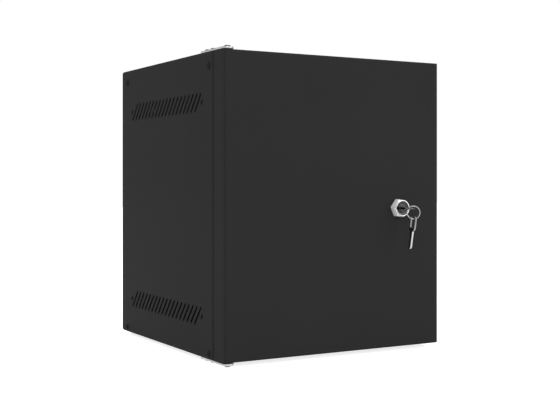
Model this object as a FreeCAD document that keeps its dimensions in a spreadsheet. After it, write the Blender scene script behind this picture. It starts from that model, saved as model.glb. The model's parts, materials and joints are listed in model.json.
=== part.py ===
import FreeCAD, Part
import math
import os
import re
import Sketcher

# Wall mount network cabinet for 10 inch equipment, six units high: a flat-pack sheet steel
# body, a full-overlay sheet steel door on two pivot hinge plates, a cam lock with its keys.
# Frame: +Z up, the door faces -Y, the wall is the plane y = 0, and the origin is the centre
# of the four wall fixing holes. All sizes are in millimetres.

SIZES = [
    # cabinet
    ("side_space", 8.7, "gap between the outside of a rail and the outside of the cabinet"),
    ("height", 335.0, "outside height of the body"),
    ("depth", 310.0, "wall plane to the face of the door"),
    ("sheet", 1.2, "body sheet thickness"),
    ("rear_sheet", 1.5, "rear panel thickness"),
    ("bend", 2.0, "outer radius of the bends in the body"),
    ("fit", 0.1, "gap between nested sheets"),
    # body flanges
    ("jamb", 20.0, "front and rear flanges of the side panels"),
    ("cross_flange", 20.0, "front and rear flanges of the top and bottom panels"),
    ("top_flange", 25.0, "side flanges of the top panel"),
    ("bottom_flange", 12.0, "side flanges of the bottom panel"),
    # vents in the side panels
    ("vent_width", 3.4, "width of a vent slot"),
    ("vent_pitch", 10.8, "distance between slots"),
    ("vent_count", 19.0, "full slots in a band"),
    ("vent_rise", 18.7, "height between the end centres of a full slot"),
    ("vent_run", 16.6, "run between the end centres of a full slot"),
    ("short_rise", 3.2, "height between the end centres of a short slot"),
    ("vent_top_drop", 54.0, "top edge to the middle of the upper band"),
    ("vent_bottom_rise", 44.2, "bottom edge to the middle of the lower band"),
    # screws of the body
    ("screw_dia", 4.0, "shank of the body screws"),
    ("screw_clear", 0.15, "radial clearance round a screw"),
    ("screw_head", 7.6, "head diameter"),
    ("screw_head_rise", 2.2, "head height"),
    ("screw_length", 7.0, "shank length"),
    ("screw_point", 0.5, "chamfer on the end of a screw"),
    ("flush_head", 6.8, "head of the countersunk screws in the rear panel"),
    ("short_screw", 5.0, "shank length of the hinge plate screws"),
    ("side_screw_front", 11.5, "front side screws, from the front edge of the panel"),
    ("side_screw_back", 16.0, "rear side screws, from the rear edge of the panel"),
    ("side_screw_drop", 15.5, "upper side screws, from the top edge"),
    ("side_screw_rise", 5.5, "lower side screws, from the bottom edge"),
    ("rear_screw_step", 130.0, "rear screws of the side flanges, up and down from the middle"),
    ("rear_screw_x", 60.0, "rear screws of the top and bottom flanges, from the middle"),
    # wall fixing and cable entries
    ("wall_hole", 8.0, "wall fixing hole diameter"),
    ("wall_pitch_x", 200.0, "wall fixing holes, across"),
    ("wall_pitch_z", 240.0, "wall fixing holes, up"),
    ("rear_entry_w", 160.0, "rear cable opening, width"),
    ("rear_entry_rise", 60.0, "rear cable opening, height"),
    ("rear_entry_up", 70.0, "rear cable opening, its middle from the bottom edge"),
    ("entry_w", 140.0, "cable entry in the top and bottom, width"),
    ("entry_d", 50.0, "cable entry in the top and bottom, depth"),
    ("entry_back", 58.0, "cable entry, its middle from the wall plane"),
    ("entry_corner", 6.0, "corner radius of the cable entries"),
    ("cover_lap", 12.0, "overlap of a cover plate round its entry"),
    ("cover_screw", 6.0, "cover screws, from the edge of the cover"),
    # rack rails
    ("rack_pitch", 236.525, "hole columns of a 10 inch rack, centre to centre"),
    ("rack_clear", 222.6, "clear width between the rails"),
    ("unit_pitch", 44.45, "one rack unit"),
    ("unit_count", 6.0, "rack units"),
    ("unit_first", 6.35, "bottom of a unit to its first hole"),
    ("unit_step", 15.875, "hole to hole within a unit"),
    ("cage_hole", 9.5, "square hole for a cage nut"),
    ("rail_sheet", 1.5, "rail thickness"),
    ("rail_bend", 2.3, "outer radius of the bends in a rail"),
    ("rail_face", 20.0, "width of the rail's face"),
    ("rail_leg", 34.0, "depth of the rail's leg and end tabs"),
    ("rail_tab", 24.0, "length of the rail's end tabs"),
    ("rail_relief", 4.0, "notch where the rail's face meets an end tab"),
    ("rail_setback", 20.0, "front of the body to the face of the rail"),
    ("rail_screw_a", 11.0, "first rail screw, from the face of the rail"),
    ("rail_screw_b", 25.0, "second rail screw, from the face of the rail"),
    # door
    ("door_sheet", 1.2, "door sheet thickness"),
    ("door_depth", 28.0, "door face to the back of its lips"),
    ("door_gap", 1.0, "gap between the door and the body"),
    ("door_clear", 0.7, "gap between the door and each hinge plate"),
    ("door_lip", 10.0, "lip turned in round the back of the door"),
    ("door_bend", 2.5, "outer radius of the bends round the face"),
    ("lip_bend", 1.6, "outer radius of the bends of the lips"),
    # hinges
    ("pin_dia", 5.0, "hinge pin diameter"),
    ("pin_in", 6.5, "hinge axis from the left side"),
    ("pin_back", 6.2, "hinge axis from the face of the door"),
    ("pin_head", 7.4, "hinge pin head diameter"),
    ("pin_head_rise", 1.5, "hinge pin head height"),
    ("pin_head_edge", 0.8, "chamfer on the hinge pin head"),
    ("pin_reach", 10.0, "hinge pin inside the door"),
    ("pin_point", 1.0, "chamfer on the end of the hinge pin"),
    ("running", 0.05, "radial clearance of a running fit"),
    ("bush_wall", 1.0, "wall of the hinge bush"),
    ("bush_rim", 1.4, "rim of the hinge bush beyond its wall"),
    ("bush_flange", 0.5, "flange of the hinge bush"),
    ("bush_tail", 4.0, "bush below the sheet of the door"),
    ("hinge_sheet", 2.0, "hinge plate thickness"),
    ("hinge_width", 13.0, "hinge plate width"),
    ("hinge_length", 66.0, "door face to the rear end of a hinge plate"),
    ("hinge_screw_a", 41.0, "first hinge screw, from the door face"),
    ("hinge_screw_b", 56.0, "second hinge screw, from the door face"),
    # bumpers and earthing
    ("bumper_dia", 9.0, "rubber bumper diameter"),
    ("bumper_play", 0.3, "gap between a bumper and the closed door"),
    ("bumper_z", 120.0, "bumpers, up and down from the middle"),
    ("stud_dia", 6.0, "earth stud diameter"),
    ("stud_length", 16.0, "earth stud length"),
    ("stud_pad", 11.0, "earth stud weld pad diameter"),
    ("stud_pad_thick", 1.0, "earth stud weld pad thickness"),
    ("stud_point", 1.0, "chamfer on the end of an earth stud"),
    ("stud_nut_up", 3.0, "earth nut, from the sheet"),
    ("stud_side", 60.0, "earth studs, left of the middle"),
    ("stud_rise", 37.5, "earth stud of the door, above the bottom of the cabinet"),
    ("nut_flats", 7.0, "small nut across its flats"),
    ("nut_thick", 3.0, "small nut thickness"),
    # lock
    ("lock_in", 57.0, "lock axis from the right side"),
    ("lock_drop", 5.2, "lock axis below the middle of the door"),
    ("lock_hex", 19.6, "lock bezel across its flats"),
    ("lock_out", 9.0, "lock bezel proud of the door"),
    ("lock_lean", 6.0, "turn of the hexagon about the lock axis"),
    ("lock_rim", 18.6, "round front rim of the bezel"),
    ("lock_recess", 16.4, "recess in the front of the bezel"),
    ("lock_sink", 1.2, "depth of the recess"),
    ("lock_slope", 2.4, "length of the chamfer on the corners of the bezel"),
    ("barrel_dia", 16.0, "threaded barrel diameter"),
    ("barrel_flat", 14.0, "barrel across its two flats"),
    ("barrel_fit", 0.15, "clearance of the barrel in the door"),
    ("plug_dia", 11.0, "lock plug diameter"),
    ("plug_step", 0.6, "plug proud of the end of the barrel"),
    ("washer_thick", 1.2, "lock washer thickness"),
    ("washer_dia", 24.0, "lock washer diameter"),
    ("lock_nut_flats", 21.0, "lock nut across its flats"),
    ("lock_nut_thick", 4.5, "lock nut thickness"),
    ("lock_nut_turn", 30.0, "turn of the lock nut about the lock axis"),
    ("cam_sheet", 2.0, "cam thickness"),
    ("cam_gap", 0.6, "gap between the cam and the flange it turns behind"),
    ("cam_width", 15.0, "cam width"),
    ("cam_length", 46.0, "lock axis to the tip of the cam"),
    ("cam_square", 7.0, "square on the plug that turns the cam"),
    ("cam_nut_flats", 10.0, "cam nut across its flats"),
    ("cam_nut_thick", 4.0, "cam nut thickness"),
    ("cam_stud", 6.0, "threaded end of the plug"),
    # keys and their ring
    ("key_sheet", 2.0, "key thickness"),
    ("bow_w", 14.0, "key bow, width"),
    ("bow_l", 18.0, "key bow, length"),
    ("bow_corner", 5.0, "corner radius of the bow"),
    ("bow_limb", 2.0, "bars round the window in the bow"),
    ("bow_window", 12.0, "length of the window in the bow"),
    ("blade_w", 6.0, "key blade width"),
    ("blade_l", 20.0, "key blade length"),
    ("key_fit", 0.15, "clearance of the blade in the keyway"),
    ("blade_root", 1.0, "blade inside the bow"),
    ("blade_point", 2.0, "tapered end of the blade"),
    ("cut_first", 6.0, "first cut in the blade, from the shoulder"),
    ("cut_mouth", 2.8, "length of a cut at the edge of the blade"),
    ("cut_floor", 1.0, "length of a cut at its floor"),
    ("cut_deep", 1.3, "depth of the cuts in the blade"),
    ("cut_pitch", 3.1, "distance between the cuts"),
    ("ring_radius", 7.35, "key ring, to the middle of its wire"),
    ("ring_wire", 1.1, "key ring wire"),
    ("ring_turns", 2.0, "turns of wire side by side"),
    ("ring_side", 3.8, "middle of the ring, right of the key"),
    ("ring_lift", 1.2, "gap between the bow and the crown of the ring"),
    ("ring_turn", 31.7, "turn of the ring about the vertical"),
    ("spare_turn", 80.0, "turn of the spare key about the vertical"),
    ("spare_tilt", 7.0, "lean of the spare key in the plane of the ring"),
    ("spare_hang", 0.9, "gap between the ring and the bow of the spare key"),
]

doc = FreeCAD.newDocument("network_cabinet")
sheet = doc.addObject("Spreadsheet::Sheet", "Sizes")
for row, (alias, value, note) in enumerate(SIZES, start=1):
    sheet.set("A%d" % row, note)
    sheet.set("B%d" % row, str(value))
    sheet.setAlias("B%d" % row, alias)
doc.recompute()

ALIASES = re.compile(r"\b(%s)\b" % "|".join(alias for alias, value, note in SIZES))
# outside width: the rails set it, because the rack width between them is a standard
DERIVED = {"width": "(rack_clear + 2 * rail_face + 2 * side_space)"}
SUBPARTS = []


# ---------------------------------------------------------------- sizes and places

def bound(text):
    """An expression on the sheet's cells, written with their plain names."""
    for name, meaning in DERIVED.items():
        text = re.sub(r"\b%s\b" % name, meaning, str(text))
    return ALIASES.sub(r"Sizes.\1", str(text))


def num(text):
    """The present value of such an expression."""
    return float(sheet.evalExpression(bound(text)))


FRONT = "(0 - depth)"                                   # face of the door
BODY_FRONT = "(0 - depth + door_depth + door_gap)"      # front edge of the body
PANEL_REAR = "(0 - rear_sheet)"                         # where the rear panel closes the body
INNER_X = "(width / 2 - sheet - fit)"                   # half width of the top and bottom panels
RAIL_Y = "(%s + rail_setback)" % BODY_FRONT             # face of the rails
RAIL_X = "(rack_clear / 2 + rail_face)"                 # outer face of the rails' legs
HOLE_R = "(screw_dia / 2 + screw_clear)"
PIN_X = "(0 - width / 2 + pin_in)"
PIN_EDGE = "min(pin_head_edge; pin_head_rise * 0.6)"    # a low head has a smaller chamfer
PIN_Y = "(0 - depth + pin_back)"
DOOR_TOP = "(height / 2 - door_clear)"
LOCK_X = "(width / 2 - lock_in)"
LOCK_Z = "(0 - lock_drop)"
CAM_FACE = "(door_depth + door_gap + sheet + cam_gap)"  # from the door face to the cam
BARREL_END = "(%s - plug_step)" % CAM_FACE
BUMPER_THICK = "(door_gap - bumper_play)"
SIDE_SCREW_FRONT = "(%s + side_screw_front)" % BODY_FRONT
SIDE_SCREW_BACK = "(%s - side_screw_back)" % PANEL_REAR
MID_Y = "((%s + %s) / 2)" % (SIDE_SCREW_FRONT, SIDE_SCREW_BACK)
ENTRY_Y = "(0 - entry_back)"


# ---------------------------------------------------------------- modelling helpers

def new_body(label):
    body = doc.addObject("PartDesign::Body", label)
    body.Label = label
    SUBPARTS.append(body)
    return body


def origin_part(body, role):
    return [item for item in body.Origin.OriginFeatures if item.Role == role][0]


def new_sketch(body, role, offset="0"):
    """A sketch on one of the body's own origin planes, moved along that plane's normal."""
    sketch = body.newObject("Sketcher::SketchObject", body.Label + "_sketch")
    sketch.AttachmentSupport = [(origin_part(body, role), "")]
    sketch.MapMode = "FlatFace"
    sketch.setExpression("AttachmentOffset.Base.z", bound(offset))
    return sketch


def locate(sketch, index, position, x, y):
    for kind, text in (("DistanceX", x), ("DistanceY", y)):
        rule = sketch.addConstraint(Sketcher.Constraint(kind, -1, 1, index, position, num(text)))
        sketch.setExpression("Constraints[%d]" % rule, bound(text))


def set_radius(sketch, index, radius):
    rule = sketch.addConstraint(Sketcher.Constraint("Radius", index, num(radius)))
    sketch.setExpression("Constraints[%d]" % rule, bound(radius))


def polygon(sketch, points):
    corners = [FreeCAD.Vector(num(x), num(y), 0) for x, y in points]
    first = sketch.GeometryCount
    count = len(corners)
    for i in range(count):
        sketch.addGeometry(Part.LineSegment(corners[i], corners[(i + 1) % count]), False)
    for i in range(count):
        after = first + (i + 1) % count
        sketch.addConstraint(Sketcher.Constraint("Coincident", first + i, 2, after, 1))
    for i, (x, y) in enumerate(points):
        locate(sketch, first + i, 1, x, y)


def rectangle(sketch, x0, y0, x1, y1):
    polygon(sketch, [(x0, y0), (x1, y0), (x1, y1), (x0, y1)])


def circle(sketch, x, y, radius):
    centre = FreeCAD.Vector(num(x), num(y), 0)
    index = sketch.addGeometry(Part.Circle(centre, FreeCAD.Vector(0, 0, 1), num(radius)), False)
    locate(sketch, index, 3, x, y)
    set_radius(sketch, index, radius)


def slot(sketch, x0, y0, x1, y1, radius):
    """A slot with round ends between two end centres."""
    start = FreeCAD.Vector(num(x0), num(y0), 0)
    end = FreeCAD.Vector(num(x1), num(y1), 0)
    size = num(radius)
    along = (end - start).normalize()
    across = FreeCAD.Vector(-along.y, along.x, 0)
    turn = math.atan2(across.y, across.x)
    up = FreeCAD.Vector(0, 0, 1)
    first = sketch.GeometryCount
    sketch.addGeometry(Part.ArcOfCircle(Part.Circle(start, up, size), turn, turn + math.pi), False)
    sketch.addGeometry(Part.ArcOfCircle(Part.Circle(end, up, size), turn - math.pi, turn), False)
    sketch.addGeometry(Part.LineSegment(start - across * size, end - across * size), False)
    sketch.addGeometry(Part.LineSegment(end + across * size, start + across * size), False)
    for a, a_end, b, b_end in ((0, 2, 2, 1), (2, 2, 1, 1), (1, 2, 3, 1), (3, 2, 0, 1)):
        sketch.addConstraint(Sketcher.Constraint("Tangent", first + a, a_end, first + b, b_end))
    sketch.addConstraint(Sketcher.Constraint("Equal", first, first + 1))
    locate(sketch, first, 3, x0, y0)
    locate(sketch, first + 1, 3, x1, y1)
    set_radius(sketch, first, radius)


def double_d(sketch, x, y, radius, flats):
    """A circle with two flats, above and below its centre."""
    cx, cy, size, half = num(x), num(y), num(radius), num(flats) / 2
    reach = math.sqrt(size * size - half * half)
    lift = math.asin(half / size)
    ring = Part.Circle(FreeCAD.Vector(cx, cy, 0), FreeCAD.Vector(0, 0, 1), size)
    signs = ((1, 1), (-1, 1), (-1, -1), (1, -1))
    corner = [FreeCAD.Vector(cx + i * reach, cy + j * half, 0) for i, j in signs]
    first = sketch.GeometryCount
    sketch.addGeometry(Part.ArcOfCircle(ring, -lift, lift), False)
    sketch.addGeometry(Part.LineSegment(corner[0], corner[1]), False)
    sketch.addGeometry(Part.ArcOfCircle(ring, math.pi - lift, math.pi + lift), False)
    sketch.addGeometry(Part.LineSegment(corner[2], corner[3]), False)
    for i in range(4):
        after = first + (i + 1) % 4
        sketch.addConstraint(Sketcher.Constraint("Coincident", first + i, 2, after, 1))
    for i, sign in ((1, "+"), (3, "-")):
        sketch.addConstraint(Sketcher.Constraint("Horizontal", first + i))
        level = "%s %s (%s) / 2" % (y, sign, flats)
        rule = sketch.addConstraint(Sketcher.Constraint("DistanceY", -1, 1, first + i, 1, num(level)))
        sketch.setExpression("Constraints[%d]" % rule, bound(level))
    for i in (0, 2):
        locate(sketch, first + i, 3, x, y)
        set_radius(sketch, first + i, radius)


def hexagon(sketch, x, y, flats, turn=0.0):
    """A hexagon; with no turn its flats are above and below."""
    points = []
    for i in range(6):
        angle = math.radians(60 * i + turn)
        far = "(%s) / sqrt(3)" % flats
        points.append(("%s + %s * %.9f" % (x, far, math.cos(angle)),
                       "%s + %s * %.9f" % (y, far, math.sin(angle))))
    polygon(sketch, points)


def pad(body, sketch, length, back=False):
    feature = body.newObject("PartDesign::Pad", body.Label + "_pad")
    feature.Profile = sketch
    feature.setExpression("Length", bound(length))
    feature.Reversed = back
    before = body.Shape.Volume if body.Shape.Solids else 0.0
    doc.recompute()
    if feature.Shape.Volume <= before:
        raise RuntimeError("%s: a pad added nothing" % body.Label)
    return feature


def cut(body, sketch, length, forward=False):
    """A pocket against the sketch's normal, or along it when forward is set."""
    before = body.Shape.Volume
    feature = body.newObject("PartDesign::Pocket", body.Label + "_cut")
    feature.Profile = sketch
    feature.setExpression("Length", bound(length))
    feature.Reversed = forward
    doc.recompute()
    if feature.Shape.Volume >= before - 1e-6:
        raise RuntimeError("%s: a pocket cut nothing" % body.Label)
    return feature


def repeat(body, feature, axis, step, count):
    """The feature again and again along one of the body's axes."""
    before = feature.Shape.Volume
    pattern = body.newObject("PartDesign::LinearPattern", body.Label + "_row")
    pattern.Originals = [feature]
    pattern.Direction = (origin_part(body, axis), [""])
    pattern.setExpression("Occurrences", bound(count))
    pattern.setExpression("Length", bound("(%s) * (%s - 1)" % (step, count)))
    body.Tip = pattern
    doc.recompute()
    if abs(pattern.Shape.Volume - before) < 1e-6:
        raise RuntimeError("%s: a pattern changed nothing" % body.Label)
    return pattern


def turned(body, sketch, axis="Z_Axis", cutting=False):
    kind = "PartDesign::Groove" if cutting else "PartDesign::Revolution"
    feature = body.newObject(kind, body.Label + "_turned")
    feature.Profile = sketch
    feature.ReferenceAxis = (origin_part(body, axis), [""])
    feature.Angle = 360
    doc.recompute()
    return feature


def edges_where(shape, axis, test):
    """Names of the straight edges along an axis whose two ends both pass the test."""
    names = []
    for index, edge in enumerate(shape.Edges, start=1):
        if len(edge.Vertexes) != 2:
            continue
        run = edge.Vertexes[1].Point - edge.Vertexes[0].Point
        if abs(getattr(run, axis)) < edge.Length * 0.9999:
            continue
        if all(test(vertex.Point) for vertex in edge.Vertexes):
            names.append("Edge%d" % index)
    return names


def near(value, text):
    return abs(value - num(text)) < 1e-4


def round_edges(body, radius, axes, test):
    """Rounds the edges of the body's last feature that run along one of the axes."""
    base = body.Tip
    names = [name for axis in axes for name in edges_where(base.Shape, axis, test)]
    if not names:
        raise RuntimeError("%s: no edge to round" % body.Label)
    feature = body.newObject("PartDesign::Fillet", body.Label + "_round")
    feature.Base = (base, names)
    feature.setExpression("Radius", bound(radius))
    body.Tip = feature
    doc.recompute()
    if "Invalid" in feature.State or abs(feature.Shape.Volume - base.Shape.Volume) < 1e-9:
        raise RuntimeError("%s: a fillet of %s failed" % (body.Label, radius))
    return feature


def place(item, x, y, z, axis=(0, 0, 1), angle=0.0):
    """Puts a piece that is drawn about its own origin in its place in the cabinet."""
    item.Placement = FreeCAD.Placement(FreeCAD.Vector(num(x), num(y), num(z)),
                                       FreeCAD.Rotation(FreeCAD.Vector(*axis), angle))
    for name, text in (("x", x), ("y", y), ("z", z)):
        item.setExpression("Placement.Base." + name, bound(text))


def group(label, master, places):
    """Copies of one fastener as separate solids of a single sub-part."""
    copies = []
    for x, y, z, axis, angle in places:
        copy = doc.addObject("App::Link", label + "_copy")
        copy.LinkedObject = master
        place(copy, x, y, z, axis, angle)
        copies.append(copy)
    compound = doc.addObject("Part::Compound", label)
    compound.Label = label
    compound.Links = copies
    SUBPARTS.append(compound)
    doc.recompute()
    return compound


# ---------------------------------------------------------------- sheet steel body

def side_panel(label, side):
    """A folded side panel with a front and a rear flange and two bands of oblique vents."""
    body = new_body(label)
    outer = "(%d * width / 2)" % side
    inner = "(%d * (width / 2 - sheet))" % side
    flange = "(%d * (width / 2 - jamb))" % side
    section = new_sketch(body, "XY_Plane", "0 - height / 2")
    polygon(section, [
        (outer, BODY_FRONT), (flange, BODY_FRONT), (flange, BODY_FRONT + " + sheet"),
        (inner, BODY_FRONT + " + sheet"), (inner, PANEL_REAR + " - sheet"),
        (flange, PANEL_REAR + " - sheet"), (flange, PANEL_REAR), (outer, PANEL_REAR)])
    pad(body, section, "height")
    round_edges(body, "bend", "z", lambda p: near(p.x, outer)
                and (near(p.y, BODY_FRONT) or near(p.y, PANEL_REAR)))
    round_edges(body, "bend - sheet", "z", lambda p: near(p.x, inner)
                and (near(p.y, BODY_FRONT + " + sheet") or near(p.y, PANEL_REAR + " - sheet")))

    screws = new_sketch(body, "YZ_Plane", outer)
    for y in (SIDE_SCREW_FRONT, SIDE_SCREW_BACK):
        circle(screws, y, "height / 2 - side_screw_drop", HOLE_R)
        circle(screws, y, "0 - height / 2 + side_screw_rise", HOLE_R)
    cut(body, screws, "sheet + fit", forward=side < 0)

    # the slots of both sides lean the same way seen from outside, because one folded panel,
    # turned half round, serves as either side
    lean = side
    half_span = "vent_pitch * (vent_count - 1) / 2"
    short_run = "(short_rise * vent_run / vent_rise)"
    for middle in ("(height / 2 - vent_top_drop)", "(0 - height / 2 + vent_bottom_rise)"):
        first = "(%s - %s)" % (MID_Y, half_span)
        full = new_sketch(body, "YZ_Plane", outer)
        slot(full, "%s - %d * vent_run / 2" % (first, lean), middle + " - vent_rise / 2",
             "%s + %d * vent_run / 2" % (first, lean), middle + " + vent_rise / 2", "vent_width / 2")
        opening = cut(body, full, "sheet + fit", forward=side < 0)
        repeat(body, opening, "Y_Axis", "vent_pitch", "vent_count")
        ends = new_sketch(body, "YZ_Plane", outer)
        for sign in "-+":
            y = "(%s %s vent_pitch * (vent_count + 1) / 2)" % (MID_Y, sign)
            slot(ends, "%s - %d * %s / 2" % (y, lean, short_run), middle + " - short_rise / 2",
                 "%s + %d * %s / 2" % (y, lean, short_run), middle + " + short_rise / 2", "vent_width / 2")
        cut(body, ends, "sheet + fit", forward=side < 0)

    fixings = new_sketch(body, "XZ_Plane", "0 - (%s)" % PANEL_REAR)
    for z in ("0 - rear_screw_step", "0", "rear_screw_step"):
        circle(fixings, "%d * (width / 2 - jamb / 2)" % side, z, HOLE_R)
    cut(body, fixings, "sheet + fit", forward=True)
    return body


def entry_outline(sketch, x, y, wide, tall, corner):
    """A rectangle with round corners, drawn as four lines and four tangent arcs."""
    cx, cy = num(x), num(y)
    a, b, r = num(wide) / 2, num(tall) / 2, num(corner)
    up = FreeCAD.Vector(0, 0, 1)
    first = sketch.GeometryCount
    quarter = math.pi / 2
    centres = [(1, 1), (-1, 1), (-1, -1), (1, -1)]
    for i, (sx, sy) in enumerate(centres):
        middle = FreeCAD.Vector(cx + sx * (a - r), cy + sy * (b - r), 0)
        arc = Part.ArcOfCircle(Part.Circle(middle, up, r), i * quarter, (i + 1) * quarter)
        sketch.addGeometry(arc, False)
        nx, ny = centres[(i + 1) % 4]
        ahead = FreeCAD.Vector(math.cos((i + 1) * quarter), math.sin((i + 1) * quarter), 0) * r
        after = FreeCAD.Vector(cx + nx * (a - r), cy + ny * (b - r), 0)
        sketch.addGeometry(Part.LineSegment(middle + ahead, after + ahead), False)
    for i in range(4):
        arc, line = first + 2 * i, first + 2 * i + 1
        after = first + (2 * i + 2) % 8
        sketch.addConstraint(Sketcher.Constraint("Tangent", arc, 2, line, 1))
        sketch.addConstraint(Sketcher.Constraint("Tangent", line, 2, after, 1))
    for i, (sx, sy) in enumerate(centres[:3]):
        if i:
            sketch.addConstraint(Sketcher.Constraint("Equal", first, first + 2 * i))
    locate(sketch, first, 3, "%s + (%s) / 2 - (%s)" % (x, wide, corner),
           "%s + (%s) / 2 - (%s)" % (y, tall, corner))
    locate(sketch, first + 4, 3, "%s - (%s) / 2 + (%s)" % (x, wide, corner),
           "%s - (%s) / 2 + (%s)" % (y, tall, corner))
    locate(sketch, first + 2, 3, "%s - (%s) / 2 + (%s)" % (x, wide, corner),
           "%s + (%s) / 2 - (%s)" % (y, tall, corner))
    set_radius(sketch, first, corner)


def cover_holes(sketch):
    for sx in "-+":
        for sy in "-+":
            circle(sketch, "0 %s (entry_w / 2 + cover_lap - cover_screw)" % sx,
                   "%s %s (entry_d / 2 + cover_lap - cover_screw)" % (ENTRY_Y, sy), HOLE_R)


def tray(label, up, flange, screw_level, hinge_side=True):
    """The top or bottom panel: a plate with four turned flanges and open corner notches."""
    body = new_body(label)
    face = "(%d * height / 2)" % up
    under = "(%d * (height / 2 - sheet))" % up
    cross = "(%d * (height / 2 - cross_flange))" % up
    low = "(%d * (height / 2 - %s))" % (up, flange)
    cross_x = "(width / 2 - jamb - fit)"
    front_y = "(%s + bend + fit)" % BODY_FRONT
    rear_y = "(%s - bend - fit)" % PANEL_REAR

    across = new_sketch(body, "YZ_Plane", "0 - " + cross_x)
    polygon(across, [
        (BODY_FRONT, face), (PANEL_REAR, face), (PANEL_REAR, cross), (PANEL_REAR + " - sheet", cross),
        (PANEL_REAR + " - sheet", under), (BODY_FRONT + " + sheet", under),
        (BODY_FRONT + " + sheet", cross), (BODY_FRONT, cross)])
    pad(body, across, "2 * " + cross_x)
    round_edges(body, "bend", "x", lambda p: near(p.z, face)
                and (near(p.y, BODY_FRONT) or near(p.y, PANEL_REAR)))
    round_edges(body, "bend - sheet", "x", lambda p: near(p.z, under)
                and (near(p.y, BODY_FRONT + " + sheet") or near(p.y, PANEL_REAR + " - sheet")))

    along = new_sketch(body, "XZ_Plane", "0 - (%s)" % rear_y)
    left, right = "(0 - %s)" % INNER_X, INNER_X
    polygon(along, [
        (left, face), (right, face), (right, low), (right + " - sheet", low), (right + " - sheet", under),
        (left + " + sheet", under), (left + " + sheet", low), (left, low)])
    pad(body, along, "%s - %s" % (rear_y, front_y))
    round_edges(body, "bend", "y", lambda p: near(p.z, face) and (near(p.x, left) or near(p.x, right)))
    round_edges(body, "bend - sheet", "y", lambda p: near(p.z, under)
                and (near(p.x, left + " + sheet") or near(p.x, right + " - sheet")))

    flange_screws = new_sketch(body, "YZ_Plane", "0 - width / 2")
    for y in (SIDE_SCREW_FRONT, SIDE_SCREW_BACK):
        circle(flange_screws, y, screw_level, HOLE_R)
    cut(body, flange_screws, "width", forward=True)

    holes = new_sketch(body, "XY_Plane", face)
    for side in (-1, 1):
        for y in ("rail_screw_a", "rail_screw_b"):
            circle(holes, "%d * (%s - rail_tab / 2)" % (side, RAIL_X), "%s + %s" % (RAIL_Y, y), HOLE_R)
    for y in ("hinge_screw_a", "hinge_screw_b"):
        circle(holes, PIN_X, "%s + %s" % (FRONT, y), HOLE_R)
    cover_holes(holes)
    cut(body, holes, "sheet + fit", forward=up < 0)

    entry = new_sketch(body, "XY_Plane", face)
    entry_outline(entry, "0", ENTRY_Y, "entry_w", "entry_d", "entry_corner")
    cut(body, entry, "sheet + fit", forward=up < 0)

    fixings = new_sketch(body, "XZ_Plane", "0 - (%s)" % PANEL_REAR)
    for sign in "-+":
        circle(fixings, "0 %s rear_screw_x" % sign, "%d * (height / 2 - cross_flange / 2)" % up, HOLE_R)
    cut(body, fixings, "sheet + fit", forward=True)
    return body


def rear_screw_places():
    """Across and up, for the screws through the rear panel into the four flanges."""
    spots = [("%d * (width / 2 - jamb / 2)" % side, z)
             for side in (-1, 1) for z in ("0 - rear_screw_step", "0", "rear_screw_step")]
    spots += [("0 %s rear_screw_x" % sign, "%d * (height / 2 - cross_flange / 2)" % up)
              for up in (-1, 1) for sign in "-+"]
    return spots


def rear_panel():
    body = new_body("rear_panel")
    plate = new_sketch(body, "XZ_Plane")
    entry_outline(plate, "0", "0", "width", "height", "bend")
    pad(body, plate, "rear_sheet")
    holes = new_sketch(body, "XZ_Plane")
    for x in ("0 - wall_pitch_x / 2", "wall_pitch_x / 2"):
        for z in ("0 - wall_pitch_z / 2", "wall_pitch_z / 2"):
            circle(holes, x, z, "wall_hole / 2")
    cut(body, holes, "rear_sheet + fit", forward=True)
    sinks = new_sketch(body, "XZ_Plane")
    for x, z in rear_screw_places():
        circle(sinks, x, z, HOLE_R)
    before = body.Tip.Shape.Volume
    doc.recompute()
    sunk = body.newObject("PartDesign::Hole", "rear_countersinks")
    sunk.Profile = sinks
    sunk.Reversed = True
    sunk.DepthType = "ThroughAll"
    doc.recompute()
    sunk.setExpression("Diameter", bound("2 * " + HOLE_R))
    sunk.HoleCutType = "Countersink"
    sunk.HoleCutCustomValues = True
    sunk.setExpression("HoleCutDiameter", bound("flush_head + 2 * screw_clear"))
    sunk.HoleCutCountersinkAngle = 90
    body.Tip = sunk
    doc.recompute()
    if sunk.Shape.Volume > before - 10:
        raise RuntimeError("rear_panel: the countersunk holes cut too little")
    entry = new_sketch(body, "XZ_Plane")
    entry_outline(entry, "0", "0 - height / 2 + rear_entry_up", "rear_entry_w", "rear_entry_rise",
                  "entry_corner")
    cut(body, entry, "rear_sheet + fit", forward=True)
    return body


def cable_cover(label, up):
    """A blanking plate screwed over the cable entry from inside."""
    body = new_body(label)
    outline = new_sketch(body, "XY_Plane", "%d * (height / 2 - sheet)" % up)
    entry_outline(outline, "0", ENTRY_Y, "entry_w + 2 * cover_lap", "entry_d + 2 * cover_lap",
                  "cover_screw")
    pad(body, outline, "sheet", back=up > 0)
    holes = new_sketch(body, "XY_Plane", "%d * (height / 2 - sheet)" % up)
    cover_holes(holes)
    cut(body, holes, "sheet + fit", forward=up < 0)
    return body


# ---------------------------------------------------------------- rack rails

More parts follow.
